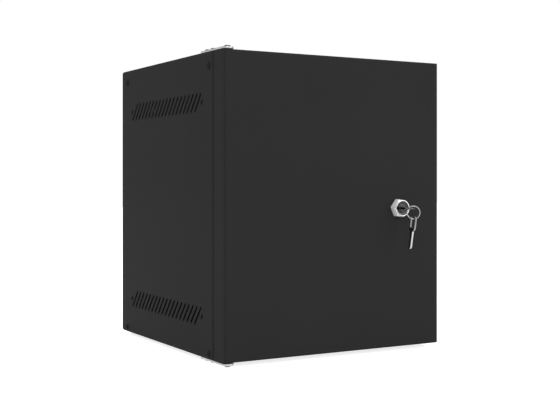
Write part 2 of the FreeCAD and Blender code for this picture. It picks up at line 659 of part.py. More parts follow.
def rail(label, side):
    """A folded rail: a face with square cage-nut holes, a leg, and a tab at each end."""
    body = new_body(label)
    near_x = "(%d * rack_clear / 2)" % side
    far_x = "(%d * %s)" % (side, RAIL_X)
    leg_x = "(%d * (%s - rail_sheet))" % (side, RAIL_X)
    tab_x = "(%d * (%s - rail_tab))" % (side, RAIL_X)
    back_y = "(%s + rail_leg)" % RAIL_Y
    end, inner_end = "(height / 2 - sheet)", "(height / 2 - sheet - rail_sheet)"
    channel = new_sketch(body, "XZ_Plane", "0 - %s" % back_y)
    polygon(channel, [
        (tab_x, end), (far_x, end), (far_x, "0 - " + end), (tab_x, "0 - " + end),
        (tab_x, "0 - " + inner_end), (leg_x, "0 - " + inner_end), (leg_x, inner_end), (tab_x, inner_end)])
    pad(body, channel, "rail_leg - rail_relief")
    round_edges(body, "rail_bend", "y", lambda p: near(p.x, far_x) and near(abs(p.z), end))
    round_edges(body, "rail_bend - rail_sheet", "y",
                lambda p: near(p.x, leg_x) and near(abs(p.z), inner_end))
    angle = new_sketch(body, "XY_Plane", "0 - %s + rail_relief" % end)
    polygon(angle, [
        (near_x, RAIL_Y), (far_x, RAIL_Y), (far_x, back_y), (leg_x, back_y),
        (leg_x, RAIL_Y + " + rail_sheet"), (near_x, RAIL_Y + " + rail_sheet")])
    pad(body, angle, "2 * (%s - rail_relief)" % end)
    round_edges(body, "rail_bend", "z", lambda p: near(p.x, far_x) and near(p.y, RAIL_Y))
    round_edges(body, "rail_bend - rail_sheet", "z",
                lambda p: near(p.x, leg_x) and near(p.y, RAIL_Y + " + rail_sheet"))
    holes = new_sketch(body, "XZ_Plane", "0 - (%s)" % RAIL_Y)
    for index in range(3):
        z = "(0 - unit_count * unit_pitch / 2 + unit_first + %d * unit_step)" % index
        x = "(%d * rack_pitch / 2)" % side
        rectangle(holes, x + " - cage_hole / 2", z + " - cage_hole / 2",
                  x + " + cage_hole / 2", z + " + cage_hole / 2")
    unit = cut(body, holes, "rail_sheet + fit")
    repeat(body, unit, "Z_Axis", "unit_pitch", "unit_count")
    for up in (-1, 1):
        fixings = new_sketch(body, "XY_Plane", "%d * (height / 2 - sheet)" % up)
        for y in ("rail_screw_a", "rail_screw_b"):
            circle(fixings, "%d * (%s - rail_tab / 2)" % (side, RAIL_X), "%s + %s" % (RAIL_Y, y), HOLE_R)
        cut(body, fixings, "rail_sheet + fit", forward=up < 0)
    return body


# ---------------------------------------------------------------- door

def door_panel():
    """A welded pan: a face, four returns and a lip turned in round the back."""
    body = new_body("door_panel")
    left, right = "(0 - width / 2)", "(width / 2)"
    low, top = "(0 - %s)" % DOOR_TOP, DOOR_TOP
    back = "(%s + door_depth)" % FRONT
    outline = new_sketch(body, "XZ_Plane", "0 - (%s)" % back)
    rectangle(outline, left, low, right, top)
    pad(body, outline, "door_depth")
    rims = ((left, "x"), (right, "x"), (low, "z"), (top, "z"))
    on_rim = lambda p: any(near(getattr(p, axis), text) for text, axis in rims)
    round_edges(body, "door_bend", "xz", lambda p: near(p.y, FRONT) and on_rim(p))
    round_edges(body, "lip_bend", "xz", lambda p: near(p.y, back) and on_rim(p))

    cavity = body.newObject("PartDesign::SubtractiveBox", "door_cavity")
    for name, text in (("Length", "width - 2 * door_sheet"), ("Width", "door_depth - 2 * door_sheet"),
                       ("Height", "2 * %s - 2 * door_sheet" % DOOR_TOP)):
        cavity.setExpression(name, bound(text))
    for name, text in (("x", left), ("y", FRONT), ("z", low)):
        cavity.setExpression("Placement.Base." + name, bound(text + " + door_sheet"))
    body.Tip = cavity
    doc.recompute()
    skin = "(%s + door_sheet)" % FRONT
    walls = ((left + " + door_sheet", "x"), (right + " - door_sheet", "x"),
             (low + " + door_sheet", "z"), (top + " - door_sheet", "z"))
    round_edges(body, "door_bend - door_sheet", "xz", lambda p: near(p.y, skin)
                and any(near(getattr(p, axis), text) for text, axis in walls))

    window = new_sketch(body, "XZ_Plane", "0 - (%s)" % back)
    entry_outline(window, "0", "0", "width - 2 * door_lip", "2 * %s - 2 * door_lip" % DOOR_TOP, "bend")
    cut(body, window, "door_sheet + fit", forward=True)

    lock_hole = new_sketch(body, "XZ_Plane", "0 - (%s)" % FRONT)
    double_d(lock_hole, LOCK_X, LOCK_Z, "barrel_dia / 2 + barrel_fit", "barrel_flat + 2 * barrel_fit")
    cut(body, lock_hole, "door_sheet + fit")

    for up in (-1, 1):
        seat = new_sketch(body, "XY_Plane", "%d * %s" % (up, DOOR_TOP))
        circle(seat, PIN_X, PIN_Y, "pin_dia / 2 + running + bush_wall")
        cut(body, seat, "door_sheet + fit", forward=up < 0)
    return body


def hinge_plate(label, up):
    body = new_body(label)
    level = "(%d * height / 2)" % up
    outline = new_sketch(body, "XY_Plane", level)
    slot(outline, PIN_X, PIN_Y, PIN_X, "%s + hinge_length - hinge_width / 2" % FRONT, "hinge_width / 2")
    pad(body, outline, "hinge_sheet", back=up < 0)
    holes = new_sketch(body, "XY_Plane", level)
    circle(holes, PIN_X, PIN_Y, "pin_dia / 2")
    for y in ("hinge_screw_a", "hinge_screw_b"):
        circle(holes, PIN_X, "%s + %s" % (FRONT, y), HOLE_R)
    cut(body, holes, "hinge_sheet + fit", forward=up > 0)
    return body


def hinge_pin(label, up):
    """A headed pin, drawn with the underside of its head at its own origin."""
    body = new_body(label)
    section = new_sketch(body, "XZ_Plane")
    reach = "(hinge_sheet + door_clear + pin_reach)"
    polygon(section, [
        ("0", "pin_head_rise"), ("pin_head / 2 - " + PIN_EDGE, "pin_head_rise"),
        ("pin_head / 2", "pin_head_rise - " + PIN_EDGE), ("pin_head / 2", "0"), ("pin_dia / 2", "0"),
        ("pin_dia / 2", "pin_point - " + reach), ("pin_dia / 2 - pin_point", "0 - " + reach),
        ("0", "0 - " + reach)])
    turned(body, section)
    place(body, PIN_X, PIN_Y, "%d * (height / 2 + hinge_sheet)" % up, (1, 0, 0), 0 if up > 0 else 180)
    return body


def hinge_bush(label, up):
    """A flanged nylon bush, drawn with its flange standing on its own origin."""
    body = new_body(label)
    bore = "(pin_dia / 2 + running)"
    wall = "(pin_dia / 2 + running + bush_wall)"
    section = new_sketch(body, "XZ_Plane")
    polygon(section, [
        (bore, "bush_flange"), (wall + " + bush_rim", "bush_flange"), (wall + " + bush_rim", "0"),
        (wall, "0"), (wall, "0 - door_sheet - bush_tail"), (bore, "0 - door_sheet - bush_tail")])
    turned(body, section)
    place(body, PIN_X, PIN_Y, "%d * %s" % (up, DOOR_TOP), (1, 0, 0), 0 if up > 0 else 180)
    return body


# ---------------------------------------------------------------- fasteners, bumpers, studs

def countersink_screw(name, length):
    """A screw whose flat head lies flush in a countersunk hole."""
    body = fastener(name)
    section = new_sketch(body, "XZ_Plane")
    polygon(section, [
        ("0", "0"), ("flush_head / 2", "0"), ("screw_dia / 2", "screw_dia / 2 - flush_head / 2"),
        ("screw_dia / 2", "screw_point - (%s)" % length),
        ("screw_dia / 2 - screw_point", "0 - (%s)" % length), ("0", "0 - (%s)" % length)])
    turned(body, section)
    return body


def fastener(name):
    """A hidden master for a group, drawn along Z at its own origin."""
    body = doc.addObject("PartDesign::Body", name)
    body.Label = name
    return body


def pan_screw(name, length):
    body = fastener(name)
    section = new_sketch(body, "XZ_Plane")
    polygon(section, [
        ("0", "screw_head_rise"), ("screw_head / 4", "screw_head_rise * 0.92"),
        ("screw_head * 0.42", "screw_head_rise * 0.6"), ("screw_head / 2", "screw_head_rise * 0.22"),
        ("screw_head / 2", "0"), ("screw_dia / 2", "0"),
        ("screw_dia / 2", "screw_point - (%s)" % length),
        ("screw_dia / 2 - screw_point", "0 - (%s)" % length), ("0", "0 - (%s)" % length)])
    turned(body, section)
    return body


def hex_nut(name, flats, thick, bore):
    body = fastener(name)
    outline = new_sketch(body, "XY_Plane")
    hexagon(outline, "0", "0", flats)
    pad(body, outline, thick)
    hole = new_sketch(body, "XY_Plane")
    circle(hole, "0", "0", bore)
    cut(body, hole, "(%s) + fit" % thick, forward=True)
    return body


def bumper(name):
    body = fastener(name)
    section = new_sketch(body, "XZ_Plane")
    polygon(section, [
        ("0", "0"), ("bumper_dia / 2", "0"), ("bumper_dia / 2", BUMPER_THICK + " * 0.6"),
        ("bumper_dia / 2 - %s * 0.4" % BUMPER_THICK, BUMPER_THICK), ("0", BUMPER_THICK)])
    turned(body, section)
    return body


def earth_stud(name):
    body = fastener(name)
    section = new_sketch(body, "XZ_Plane")
    polygon(section, [
        ("0", "0"), ("stud_pad / 2", "0"), ("stud_pad / 2", "stud_pad_thick"),
        ("stud_dia / 2", "stud_pad_thick"), ("stud_dia / 2", "stud_length - stud_point"),
        ("stud_dia / 2 - stud_point", "stud_length"), ("0", "stud_length")])
    turned(body, section)
    return body


# ---------------------------------------------------------------- lock

def lock_housing():
    """A hexagonal bezel with chamfered corners and a dished front, on a threaded barrel with
    two flats that keep it from turning in the door."""
    body = new_body("lock_housing")
    barrel = new_sketch(body, "XZ_Plane", "0 - (%s)" % FRONT)
    double_d(barrel, LOCK_X, LOCK_Z, "barrel_dia / 2", "barrel_flat")
    pad(body, barrel, BARREL_END, back=True)
    bezel = new_sketch(body, "XZ_Plane", "0 - (%s)" % FRONT)
    hexagon(bezel, LOCK_X, LOCK_Z, "lock_hex", 0 - num("lock_lean"))
    pad(body, bezel, "lock_out")

    tip = "(%s - lock_out)" % FRONT
    far = "(lock_hex / sqrt(3))"
    slope = new_sketch(body, "XY_Plane", LOCK_Z)
    polygon(slope, [
        ("%s + lock_rim / 2" % LOCK_X, tip), ("%s + %s + 1" % (LOCK_X, far), tip),
        ("%s + %s + 1" % (LOCK_X, far), "%s + lock_slope * (%s + 1 - lock_rim / 2) / (%s - lock_rim / 2)"
         % (tip, far, far))])
    spindle = new_sketch(body, "YZ_Plane", LOCK_X)
    line = spindle.addGeometry(Part.LineSegment(FreeCAD.Vector(num(FRONT), num(LOCK_Z), 0),
                                                FreeCAD.Vector(num(tip), num(LOCK_Z), 0)), False)
    locate(spindle, line, 1, FRONT, LOCK_Z)
    locate(spindle, line, 2, tip, LOCK_Z)
    corners = body.newObject("PartDesign::Groove", "lock_corners")
    corners.Profile = slope
    corners.ReferenceAxis = (spindle, ["Edge1"])
    corners.Angle = 360
    body.Tip = corners
    doc.recompute()

    dish = new_sketch(body, "XZ_Plane", "0 - " + tip)
    circle(dish, LOCK_X, LOCK_Z, "lock_recess / 2")
    cut(body, dish, "lock_sink")
    bore = new_sketch(body, "XZ_Plane", "0 - " + tip)
    circle(bore, LOCK_X, LOCK_Z, "plug_dia / 2 + running")
    cut(body, bore, "lock_out + %s + fit" % BARREL_END)
    return body


def lock_ring(label, start, thick, outline_of):
    """A washer or nut on the barrel, behind the face of the door."""
    body = new_body(label)
    outline = new_sketch(body, "XZ_Plane", "depth - (%s)" % start)
    outline_of(outline)
    pad(body, outline, thick, back=True)
    hole = new_sketch(body, "XZ_Plane", "depth - (%s)" % start)
    circle(hole, LOCK_X, LOCK_Z, "barrel_dia / 2 + barrel_fit / 3")
    cut(body, hole, "(%s) + fit" % thick)
    return body


def lock_cylinder():
    """The plug: a keyed cylinder that runs in the barrel, with a square and a thread behind."""
    body = new_body("lock_cylinder")
    face = "(%s - lock_out + lock_sink)" % FRONT
    plug = new_sketch(body, "XZ_Plane", "0 - " + face)
    circle(plug, LOCK_X, LOCK_Z, "plug_dia / 2")
    pad(body, plug, "%s + %s - %s" % (FRONT, CAM_FACE, face), back=True)
    square = new_sketch(body, "XZ_Plane", "depth - %s" % CAM_FACE)
    rectangle(square, LOCK_X + " - cam_square / 2", LOCK_Z + " - cam_square / 2",
              LOCK_X + " + cam_square / 2", LOCK_Z + " + cam_square / 2")
    pad(body, square, "cam_sheet", back=True)
    thread = new_sketch(body, "XZ_Plane", "depth - %s - cam_sheet" % CAM_FACE)
    circle(thread, LOCK_X, LOCK_Z, "cam_stud / 2")
    pad(body, thread, "cam_nut_thick + 1", back=True)
    keyway = new_sketch(body, "XZ_Plane", "0 - " + face)
    rectangle(keyway, LOCK_X + " - blade_w / 2 - key_fit", LOCK_Z + " - key_sheet / 2 - key_fit",
              LOCK_X + " + blade_w / 2 + key_fit", LOCK_Z + " + key_sheet / 2 + key_fit")
    cut(body, keyway, "blade_l + 1")
    return body


def lock_cam():
    """The flat tongue that turns behind the flange of the body."""
    body = new_body("lock_cam")
    outline = new_sketch(body, "XZ_Plane", "depth - %s" % CAM_FACE)
    slot(outline, LOCK_X, LOCK_Z, LOCK_X, "%s - cam_length + cam_width / 2" % LOCK_Z, "cam_width / 2")
    pad(body, outline, "cam_sheet", back=True)
    hole = new_sketch(body, "XZ_Plane", "depth - %s" % CAM_FACE)
    rectangle(hole, LOCK_X + " - cam_square / 2 - running", LOCK_Z + " - cam_square / 2 - running",
              LOCK_X + " + cam_square / 2 + running", LOCK_Z + " + cam_square / 2 + running")
    cut(body, hole, "cam_sheet + fit")
    return body


# ---------------------------------------------------------------- keys and ring

def key(label):
    """A flat key, drawn with its shoulder at its own origin, its blade along +Y and its bow
    along -Y. The window in the bow leaves a bar at each side and one at the end."""
    body = new_body(label)
    bow = new_sketch(body, "XY_Plane", "0 - key_sheet / 2")
    entry_outline(bow, "0", "0 - bow_l / 2", "bow_w", "bow_l", "bow_corner")
    pad(body, bow, "key_sheet")
    blade = new_sketch(body, "XY_Plane", "0 - key_sheet / 2")
    half = "(blade_w / 2)"
    points = [("0 - " + half, "0 - blade_root"), (half, "0 - blade_root")]
    for index in range(4):
        middle = "(cut_first + %d * cut_pitch)" % index
        deep = "cut_deep * %.2f" % (0.55, 1.0, 0.4, 0.8)[index]
        points += [(half, middle + " - cut_mouth / 2"),
                   ("%s - %s" % (half, deep), middle + " - cut_floor / 2"),
                   ("%s - %s" % (half, deep), middle + " + cut_floor / 2"),
                   (half, middle + " + cut_mouth / 2")]
    points += [(half, "blade_l - blade_point"), ("blade_w / 6", "blade_l"),
               ("0 - blade_w / 6", "blade_l"), ("0 - " + half, "blade_l - blade_point")]
    polygon(blade, points)
    pad(body, blade, "key_sheet")
    window = new_sketch(body, "XY_Plane", "0 - key_sheet / 2")
    entry_outline(window, "0", "0 - bow_l + bow_limb + bow_window / 2", "bow_w - 2 * bow_limb",
                  "bow_window", "bow_corner / 2")
    cut(body, window, "key_sheet + fit", forward=True)
    return body


def key_ring():
    """A split ring: turns of wire side by side, drawn round the X axis of its own frame."""
    body = new_body("key_ring")
    section = new_sketch(body, "XY_Plane")
    half = "((ring_turns - 1) * ring_wire / 2)"
    slot(section, "0 - " + half, "ring_radius", half, "ring_radius", "ring_wire / 2")
    turned(body, section, "X_Axis")
    return body


def build():
    side_panel("left_side_panel", -1)
    side_panel("right_side_panel", 1)
    tray("top_panel", 1, "top_flange", "height / 2 - side_screw_drop")
    tray("bottom_panel", -1, "bottom_flange", "0 - height / 2 + side_screw_rise")
    rear_panel()
    cable_cover("top_cable_cover", 1)
    cable_cover("bottom_cable_cover", -1)
    rail("left_rail", -1)
    rail("right_rail", 1)
    door_panel()
    hinge_plate("hinge_plate_top", 1)
    hinge_plate("hinge_plate_bottom", -1)
    hinge_pin("hinge_pin_top", 1)
    hinge_pin("hinge_pin_bottom", -1)
    hinge_bush("hinge_bush_top", 1)
    hinge_bush("hinge_bush_bottom", -1)

    screw = pan_screw("body_screw", "screw_length")
    for label, side in (("left_side_screws", -1), ("right_side_screws", 1)):
        group(label, screw, [
            ("%d * width / 2" % side, y, z, (0, 1, 0), 90 * side)
            for y in (SIDE_SCREW_FRONT, SIDE_SCREW_BACK)
            for z in ("height / 2 - side_screw_drop", "0 - height / 2 + side_screw_rise")])
    group("rear_screws", countersink_screw("rear_screw", "screw_length"),
          [(x, "0", z, (1, 0, 0), -90) for x, z in rear_screw_places()])
    group("rail_screws", screw, [
        ("%d * (%s - rail_tab / 2)" % (side, RAIL_X), "%s + %s" % (RAIL_Y, y),
         "%d * height / 2" % up, (1, 0, 0), 0 if up > 0 else 180)
        for side in (-1, 1) for up in (-1, 1) for y in ("rail_screw_a", "rail_screw_b")])
    group("cable_cover_screws", screw, [
        ("0 %s (entry_w / 2 + cover_lap - cover_screw)" % sx,
         "%s %s (entry_d / 2 + cover_lap - cover_screw)" % (ENTRY_Y, sy),
         "%d * height / 2" % up, (1, 0, 0), 0 if up > 0 else 180)
        for up in (-1, 1) for sx in "-+" for sy in "-+"])
    group("hinge_plate_screws", pan_screw("hinge_screw", "short_screw"), [
        (PIN_X, "%s + %s" % (FRONT, y), "%d * (height / 2 + hinge_sheet)" % up,
         (1, 0, 0), 0 if up > 0 else 180)
        for up in (-1, 1) for y in ("hinge_screw_a", "hinge_screw_b")])
    nut = hex_nut("body_nut", "nut_flats", "nut_thick", HOLE_R)
    group("rail_nuts", nut, [
        ("%d * (%s - rail_tab / 2)" % (side, RAIL_X), "%s + %s" % (RAIL_Y, y),
         "%d * (height / 2 - sheet - rail_sheet)" % up, (1, 0, 0), 180 if up > 0 else 0)
        for side in (-1, 1) for up in (-1, 1) for y in ("rail_screw_a", "rail_screw_b")])
    group("door_bumpers", bumper("bumper"), [
        ("width / 2 - door_lip / 2", BODY_FRONT, z, (1, 0, 0), 90)
        for z in ("0 - bumper_z", "bumper_z")])

    lock_housing()
    lock_ring("lock_washer", "door_sheet", "washer_thick",
              lambda sketch: circle(sketch, LOCK_X, LOCK_Z, "washer_dia / 2"))
    lock_ring("lock_nut", "door_sheet + washer_thick", "lock_nut_thick",
              lambda sketch: hexagon(sketch, LOCK_X, LOCK_Z, "lock_nut_flats", num("lock_nut_turn")))
    lock_cylinder()
    lock_cam()
    cam_nut = hex_nut("m6_nut", "cam_nut_flats", "cam_nut_thick", "cam_stud / 2 + running")
    group("cam_nut", cam_nut, [
        (LOCK_X, "%s + %s + cam_sheet" % (FRONT, CAM_FACE), LOCK_Z, (1, 0, 0), -90)])
    stud = earth_stud("stud")
    floor, door = "0 - height / 2 + sheet", "%s + door_sheet" % FRONT
    body_stud_y, door_stud_z = "(%s + %s) / 2" % (BODY_FRONT, MID_Y), "0 - height / 2 + stud_rise"
    group("earth_stud_body", stud, [("0 - stud_side", body_stud_y, floor, (1, 0, 0), 0)])
    group("earth_stud_door", stud, [("0 - stud_side", door, door_stud_z, (1, 0, 0), -90)])
    group("earth_nuts_body", cam_nut, [
        ("0 - stud_side", body_stud_y, floor + " + stud_nut_up", (1, 0, 0), 0)])
    group("earth_nuts_door", cam_nut, [
        ("0 - stud_side", door + " + stud_nut_up", door_stud_z, (1, 0, 0), -90)])

    shoulder = "(%s - lock_out + lock_sink)" % FRONT
    held = key("key_in_lock")
    place(held, LOCK_X, shoulder, LOCK_Z)
    ring = key_ring()
    bar_y = "(%s - bow_l + bow_limb / 2)" % shoulder
    crown = "(%s + key_sheet / 2 + ring_lift)" % LOCK_Z
    place(ring, LOCK_X + " + ring_side", bar_y, "%s + ring_wire / 2 - ring_radius" % crown,
          (0, 0, 1), 90 - num("ring_turn"))
    spare = key("spare_key")
    lean = FreeCAD.Rotation(FreeCAD.Vector(math.sin(math.radians(num("ring_turn"))),
                                           math.cos(math.radians(num("ring_turn"))), 0), num("spare_tilt"))
    hang = FreeCAD.Rotation(FreeCAD.Vector(0, 0, 1), num("spare_turn")).multiply(
        FreeCAD.Rotation(FreeCAD.Vector(1, 0, 0), -90))
    turn = lean.multiply(hang)
    hook = turn.multVec(FreeCAD.Vector(0, -num("bow_l - bow_limb"), 0))
    bottom = FreeCAD.Vector(num(LOCK_X + " + ring_side"), num(bar_y),
                            num("%s + ring_wire - 2 * ring_radius - ring_wire / 2" % crown))
    drop = turn.multVec(FreeCAD.Vector(0, num("ring_wire / 2 + spare_hang"), 0))
    spare.Placement = FreeCAD.Placement(bottom - hook + drop * -1, turn)
    doc.recompute()


def export():
    os.makedirs("parts", exist_ok=True)
    for item in doc.Objects:
        if "Invalid" in item.State or "Error" in item.State:
            raise RuntimeError("%s failed: %s" % (item.Label, item.State))
    for item in SUBPARTS:
        shape = item.Shape
        if shape.isNull() or not shape.isValid():
            raise RuntimeError("%s has no valid shape" % item.Label)
    for item in SUBPARTS:
        item.Shape.exportStep("parts/%s.step" % item.Label)
        box = item.Shape.BoundBox
        print("%-22s solids %2d  volume %10.1f  x %.1f..%.1f y %.1f..%.1f z %.1f..%.1f"
              % (item.Label, len(item.Shape.Solids), item.Shape.Volume,
                 box.XMin, box.XMax, box.YMin, box.YMax, box.ZMin, box.ZMax))


build()
export()
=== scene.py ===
"""Looks of the wall mount network cabinet, laid out as a Blender add-on."""

import json
import math

import bpy
from mathutils import Matrix, Vector


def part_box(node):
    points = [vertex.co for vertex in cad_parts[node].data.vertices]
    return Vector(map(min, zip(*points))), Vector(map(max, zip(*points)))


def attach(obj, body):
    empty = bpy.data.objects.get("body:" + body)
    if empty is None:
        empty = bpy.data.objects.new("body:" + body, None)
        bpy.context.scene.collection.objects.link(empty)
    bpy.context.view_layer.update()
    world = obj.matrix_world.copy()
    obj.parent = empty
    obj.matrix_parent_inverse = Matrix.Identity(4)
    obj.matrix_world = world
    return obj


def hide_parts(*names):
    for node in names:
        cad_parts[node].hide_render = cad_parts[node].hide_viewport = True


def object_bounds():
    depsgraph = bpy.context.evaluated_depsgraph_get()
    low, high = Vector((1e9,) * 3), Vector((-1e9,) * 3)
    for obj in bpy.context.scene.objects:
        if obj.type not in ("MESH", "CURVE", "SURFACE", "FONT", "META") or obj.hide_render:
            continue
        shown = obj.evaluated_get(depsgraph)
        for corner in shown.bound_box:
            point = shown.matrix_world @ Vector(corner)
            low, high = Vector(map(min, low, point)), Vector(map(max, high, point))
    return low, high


bl_info = {
    "name": "Wall mount network cabinet",
    "version": (1, 0, 0),
    "blender": (4, 5, 0),
    "location": "View3D > Sidebar > Cabinet",
    "description": "Finishes, fasteners, lock and keys of a wall mount network cabinet",
    "category": "Object",
}

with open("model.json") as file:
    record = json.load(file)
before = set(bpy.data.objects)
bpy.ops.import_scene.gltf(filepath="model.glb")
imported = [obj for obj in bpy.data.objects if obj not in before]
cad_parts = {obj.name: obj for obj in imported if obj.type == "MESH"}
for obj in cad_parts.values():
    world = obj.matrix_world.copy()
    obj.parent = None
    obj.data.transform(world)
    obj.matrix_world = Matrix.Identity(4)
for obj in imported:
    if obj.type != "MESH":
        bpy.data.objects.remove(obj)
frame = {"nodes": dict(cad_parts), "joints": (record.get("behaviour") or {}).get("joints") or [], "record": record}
NODES = frame["nodes"]
CAD_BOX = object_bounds()

MM = 0.001
UP = Vector((0, 0, 1))
DOWN = Vector((0, 0, -1))
BACK = Vector((0, 1, 0))


# ------------------------------------------------------------------ sizes of the meshes

POINT_DIGITS = 6  # decimals of a metre at which two points are one
ORDER_DIGITS = 4  # decimals of a metre at which solids are put in order
MERGE_DISTANCE = 1e-6
FLAT_ANGLE = math.radians(1.0)  # faces that turn by less become one
SHARP_ANGLE = math.radians(38)  # edges that turn by more are broken
EDGE_SEGMENTS = 2
SMOOTH_DEGREES = 35

SCREW_SIDES = 32
SHANK_RADIUS = 2.0 * MM

PAN_RISE = 2.2 * MM
PAN_STEPS = 5
PAN_FLAT = 0.45  # radius of the head's flat top, as a share of the head's radius
PAN_POINT = 0.4 * MM
PAN_POINT_SHARE = 0.5
PAN_TURNS = (0.4, 1.9)  # turn of the first recess and the step to the next, in radians
PLAIN_SHANK = 1.4 * MM
RUN_OUT = 0.2 * MM
THREAD_PITCH = 0.7 * MM
THREAD_ROOT = 0.8  # share of the shank's radius
THREAD_PROFILE = ((THREAD_ROOT, 0.1), (1.0, 0.45), (1.0, 0.55), (THREAD_ROOT, 0.9))  # and of the pitch

SUNK_POINT = 0.5 * MM
SUNK_POINT_SHARE = 0.6
SUNK_RIM = 0.1 * MM
SUNK_RIM_SHARE = 0.98
SUNK_TURNS = (0.7, 2.3)

RECESS_WIDTH = 0.24  # as a share of the recess over its arms
RECESS_TAPER = 0.55
RECESS_CLEAR = 0.05 * MM

WIRE_SIDES = 12
RING_TURNS = 2
RING_SWEEP = 350  # degrees in each turn
RING_STEPS = 72
RING_SMOOTH = 60

BOW_SHARE = 18.0 / 38.0  # of a key's length
FACET_LEAN = 0.2
LOCK_RECESS = 8.2 * MM
LOCK_RIM = 0.2 * MM
LOCK_LOW, LOCK_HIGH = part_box("lock_cylinder")
LOCK_X = (LOCK_LOW.x + LOCK_HIGH.x) / 2
LOCK_Z = (LOCK_LOW.z + LOCK_HIGH.z) / 2


# ------------------------------------------------------------------ sizes of the finishes and the stage

NOISE_LOW, NOISE_HIGH = 0.3, 0.7  # a noise texture seldom leaves this range
PEEL_DEPTH = 0.05 * MM
PEEL_SHARE, GRIT_SHARE = 0.7, 0.3
LINE_DEPTH = 0.02 * MM
POWDER_TONE = 1.06  # the lighter powder coat, as a share of its colour
ZINC_TONE = 0.88  # the darker zinc
FLOOR_TONE = 0.985
WALL_TONE = 0.95
STAGE_DEPTH = 0.5 * MM

FLOOR_SIZE = 12
FLOOR_GAP = 0.5 * MM
FLOOR_GLOW = 0.8
WALL_GAP = 1.0 * MM
WALL_MARGIN = 10 * MM
STAGE_CUTS = 3
WORLD_LEVEL = 0.55

LAMP_AIM = (0, -0.15, 0)
LAMPS = (
    ("key light", (-1.2, -2.6, 1.5), 1.6, 26.0),
    ("fill light", (1.6, -2.4, 0.8), 1.8, 20.0),
    ("top light", (0.0, -0.3, 2.6), 2.2, 22.0),
)

SENSOR = 36.0
LENS = 68.05
SHIFT = (-0.1158, -0.0516)
CLIP = (0.05, 50)
CAMERA_PLACE = (-0.61905, -1.32802, 0.02855)
CAMERA_TURN = math.radians(31.69)


# ------------------------------------------------------------------ which piece gets what

SLOT_FINISH = {
    "powder_coat": "powder",
    "zinc_steel": "zinc",
    "black_steel": "black screws",
    "lock_chrome": "chrome",
    "key_nickel": "key bow",
    "bumper_rubber": "rubber",
    "bush_nylon": "nylon",
}

# Pan-head screws and the way that their heads point. None is up above the middle, and down below it.
SCREW_GROUPS = (
    ("left_side_screws", Vector((-1, 0, 0))),
    ("right_side_screws", Vector((1, 0, 0))),
    ("rail_screws", None),
    ("cable_cover_screws", None),
    ("hinge_plate_screws", None),
)

# Parts that get broken edges: the node, its body, its material slot and its finish.
BROKEN_EDGES = (
    ("hinge_plate_top", "cabinet", "zinc_steel", "zinc"),
    ("hinge_plate_bottom", "cabinet", "zinc_steel", "zinc"),
    ("hinge_pin_top", "cabinet", "black_steel", "black screws"),
    ("hinge_pin_bottom", "cabinet", "black_steel", "black screws"),
    ("lock_nut", "door", "zinc_steel", "zinc"),
    ("lock_washer", "door", "zinc_steel", "zinc"),
    ("lock_cam", "lock_plug", "zinc_steel", "zinc"),
    ("lock_cylinder", "lock_plug", "lock_chrome", "chrome"),
    ("cam_nut", "lock_plug", "zinc_steel", "zinc"),
    ("lock_housing", "door", "lock_chrome", "chrome"),
    ("rail_nuts", "cabinet", "black_steel", "black screws"),
    ("earth_nuts_body", "cabinet", "zinc_steel", "zinc"),
    ("earth_nuts_door", "door", "zinc_steel", "zinc"),
)

# The bow material of each key; the bow of the key in the lock is painted shade.
KEYS = (
    ("key_in_lock", "key", "painted shade bow"),
    ("spare_key", "spare", "key bow"),
)


# ------------------------------------------------------------------ reading the frame

def solids(node):
    """The separate solids of a CAD node, each as its lowest and highest corner."""
    mesh = NODES[node].data
    leader = {}

    def find(key):
        while leader[key] != key:
            leader[key] = leader[leader[key]]
            key = leader[key]
        return key

    keys = [tuple(round(c, POINT_DIGITS) for c in v.co) for v in mesh.vertices]
    for key in keys:
        leader.setdefault(key, key)
    for face in mesh.polygons:
        first = find(keys[face.vertices[0]])
        for index in face.vertices[1:]:
            leader[find(keys[index])] = first
    groups = {}
    for key in leader:
        groups.setdefault(find(key), []).append(key)
    boxes = []
    for points in groups.values():
        low = Vector([min(p[i] for p in points) for i in range(3)])
        high = Vector([max(p[i] for p in points) for i in range(3)])
        boxes.append((low, high))
    return sorted(boxes, key=lambda box: tuple(round(c, ORDER_DIGITS) for c in box[0]))


# ------------------------------------------------------------------ mesh tools

def deselect_everything():
    """Leaves edit mode and deselects every object."""
    if bpy.context.object and bpy.context.object.mode != "OBJECT":
        bpy.ops.object.mode_set(mode="OBJECT")
    bpy.ops.object.select_all(action="DESELECT")


def only(piece):
    """Makes the piece the one selected and active object."""
    deselect_everything()
    piece.select_set(True)
    bpy.context.view_layer.objects.active = piece
    return piece


def edit(piece, mode="FACE", action="SELECT"):
    """Opens the piece in edit mode with all of it selected, or none."""
    only(piece)
    bpy.ops.object.mode_set(mode="EDIT")
    bpy.ops.mesh.select_mode(type=mode)
    bpy.ops.mesh.select_all(action=action)


def done():
    """Goes back to object mode."""
    bpy.ops.object.mode_set(mode="OBJECT")


def pick_faces(piece, test):
    """Selects, from edit mode, the faces whose normal passes the test."""
    bpy.ops.object.mode_set(mode="OBJECT")
    for face in piece.data.polygons:
        face.select = bool(test(face.normal))
    bpy.ops.object.mode_set(mode="EDIT")


def settle(piece):
    """Puts the piece's place into its mesh, so that its object sits at the origin."""
    only(piece)
    bpy.ops.object.transform_apply(location=True, rotation=True, scale=True)
    return piece


def outward(piece):
    """Merges double points and turns all faces outwards."""
    edit(piece)
    bpy.ops.mesh.remove_doubles(threshold=MERGE_DISTANCE)
    bpy.ops.mesh.normals_make_consistent(inside=False)
    done()


def smooth(piece, degrees=SMOOTH_DEGREES):
    """Shades the piece smooth where its faces turn by less than the angle."""
    only(piece)
    bpy.ops.object.shade_smooth_by_angle(angle=math.radians(degrees))


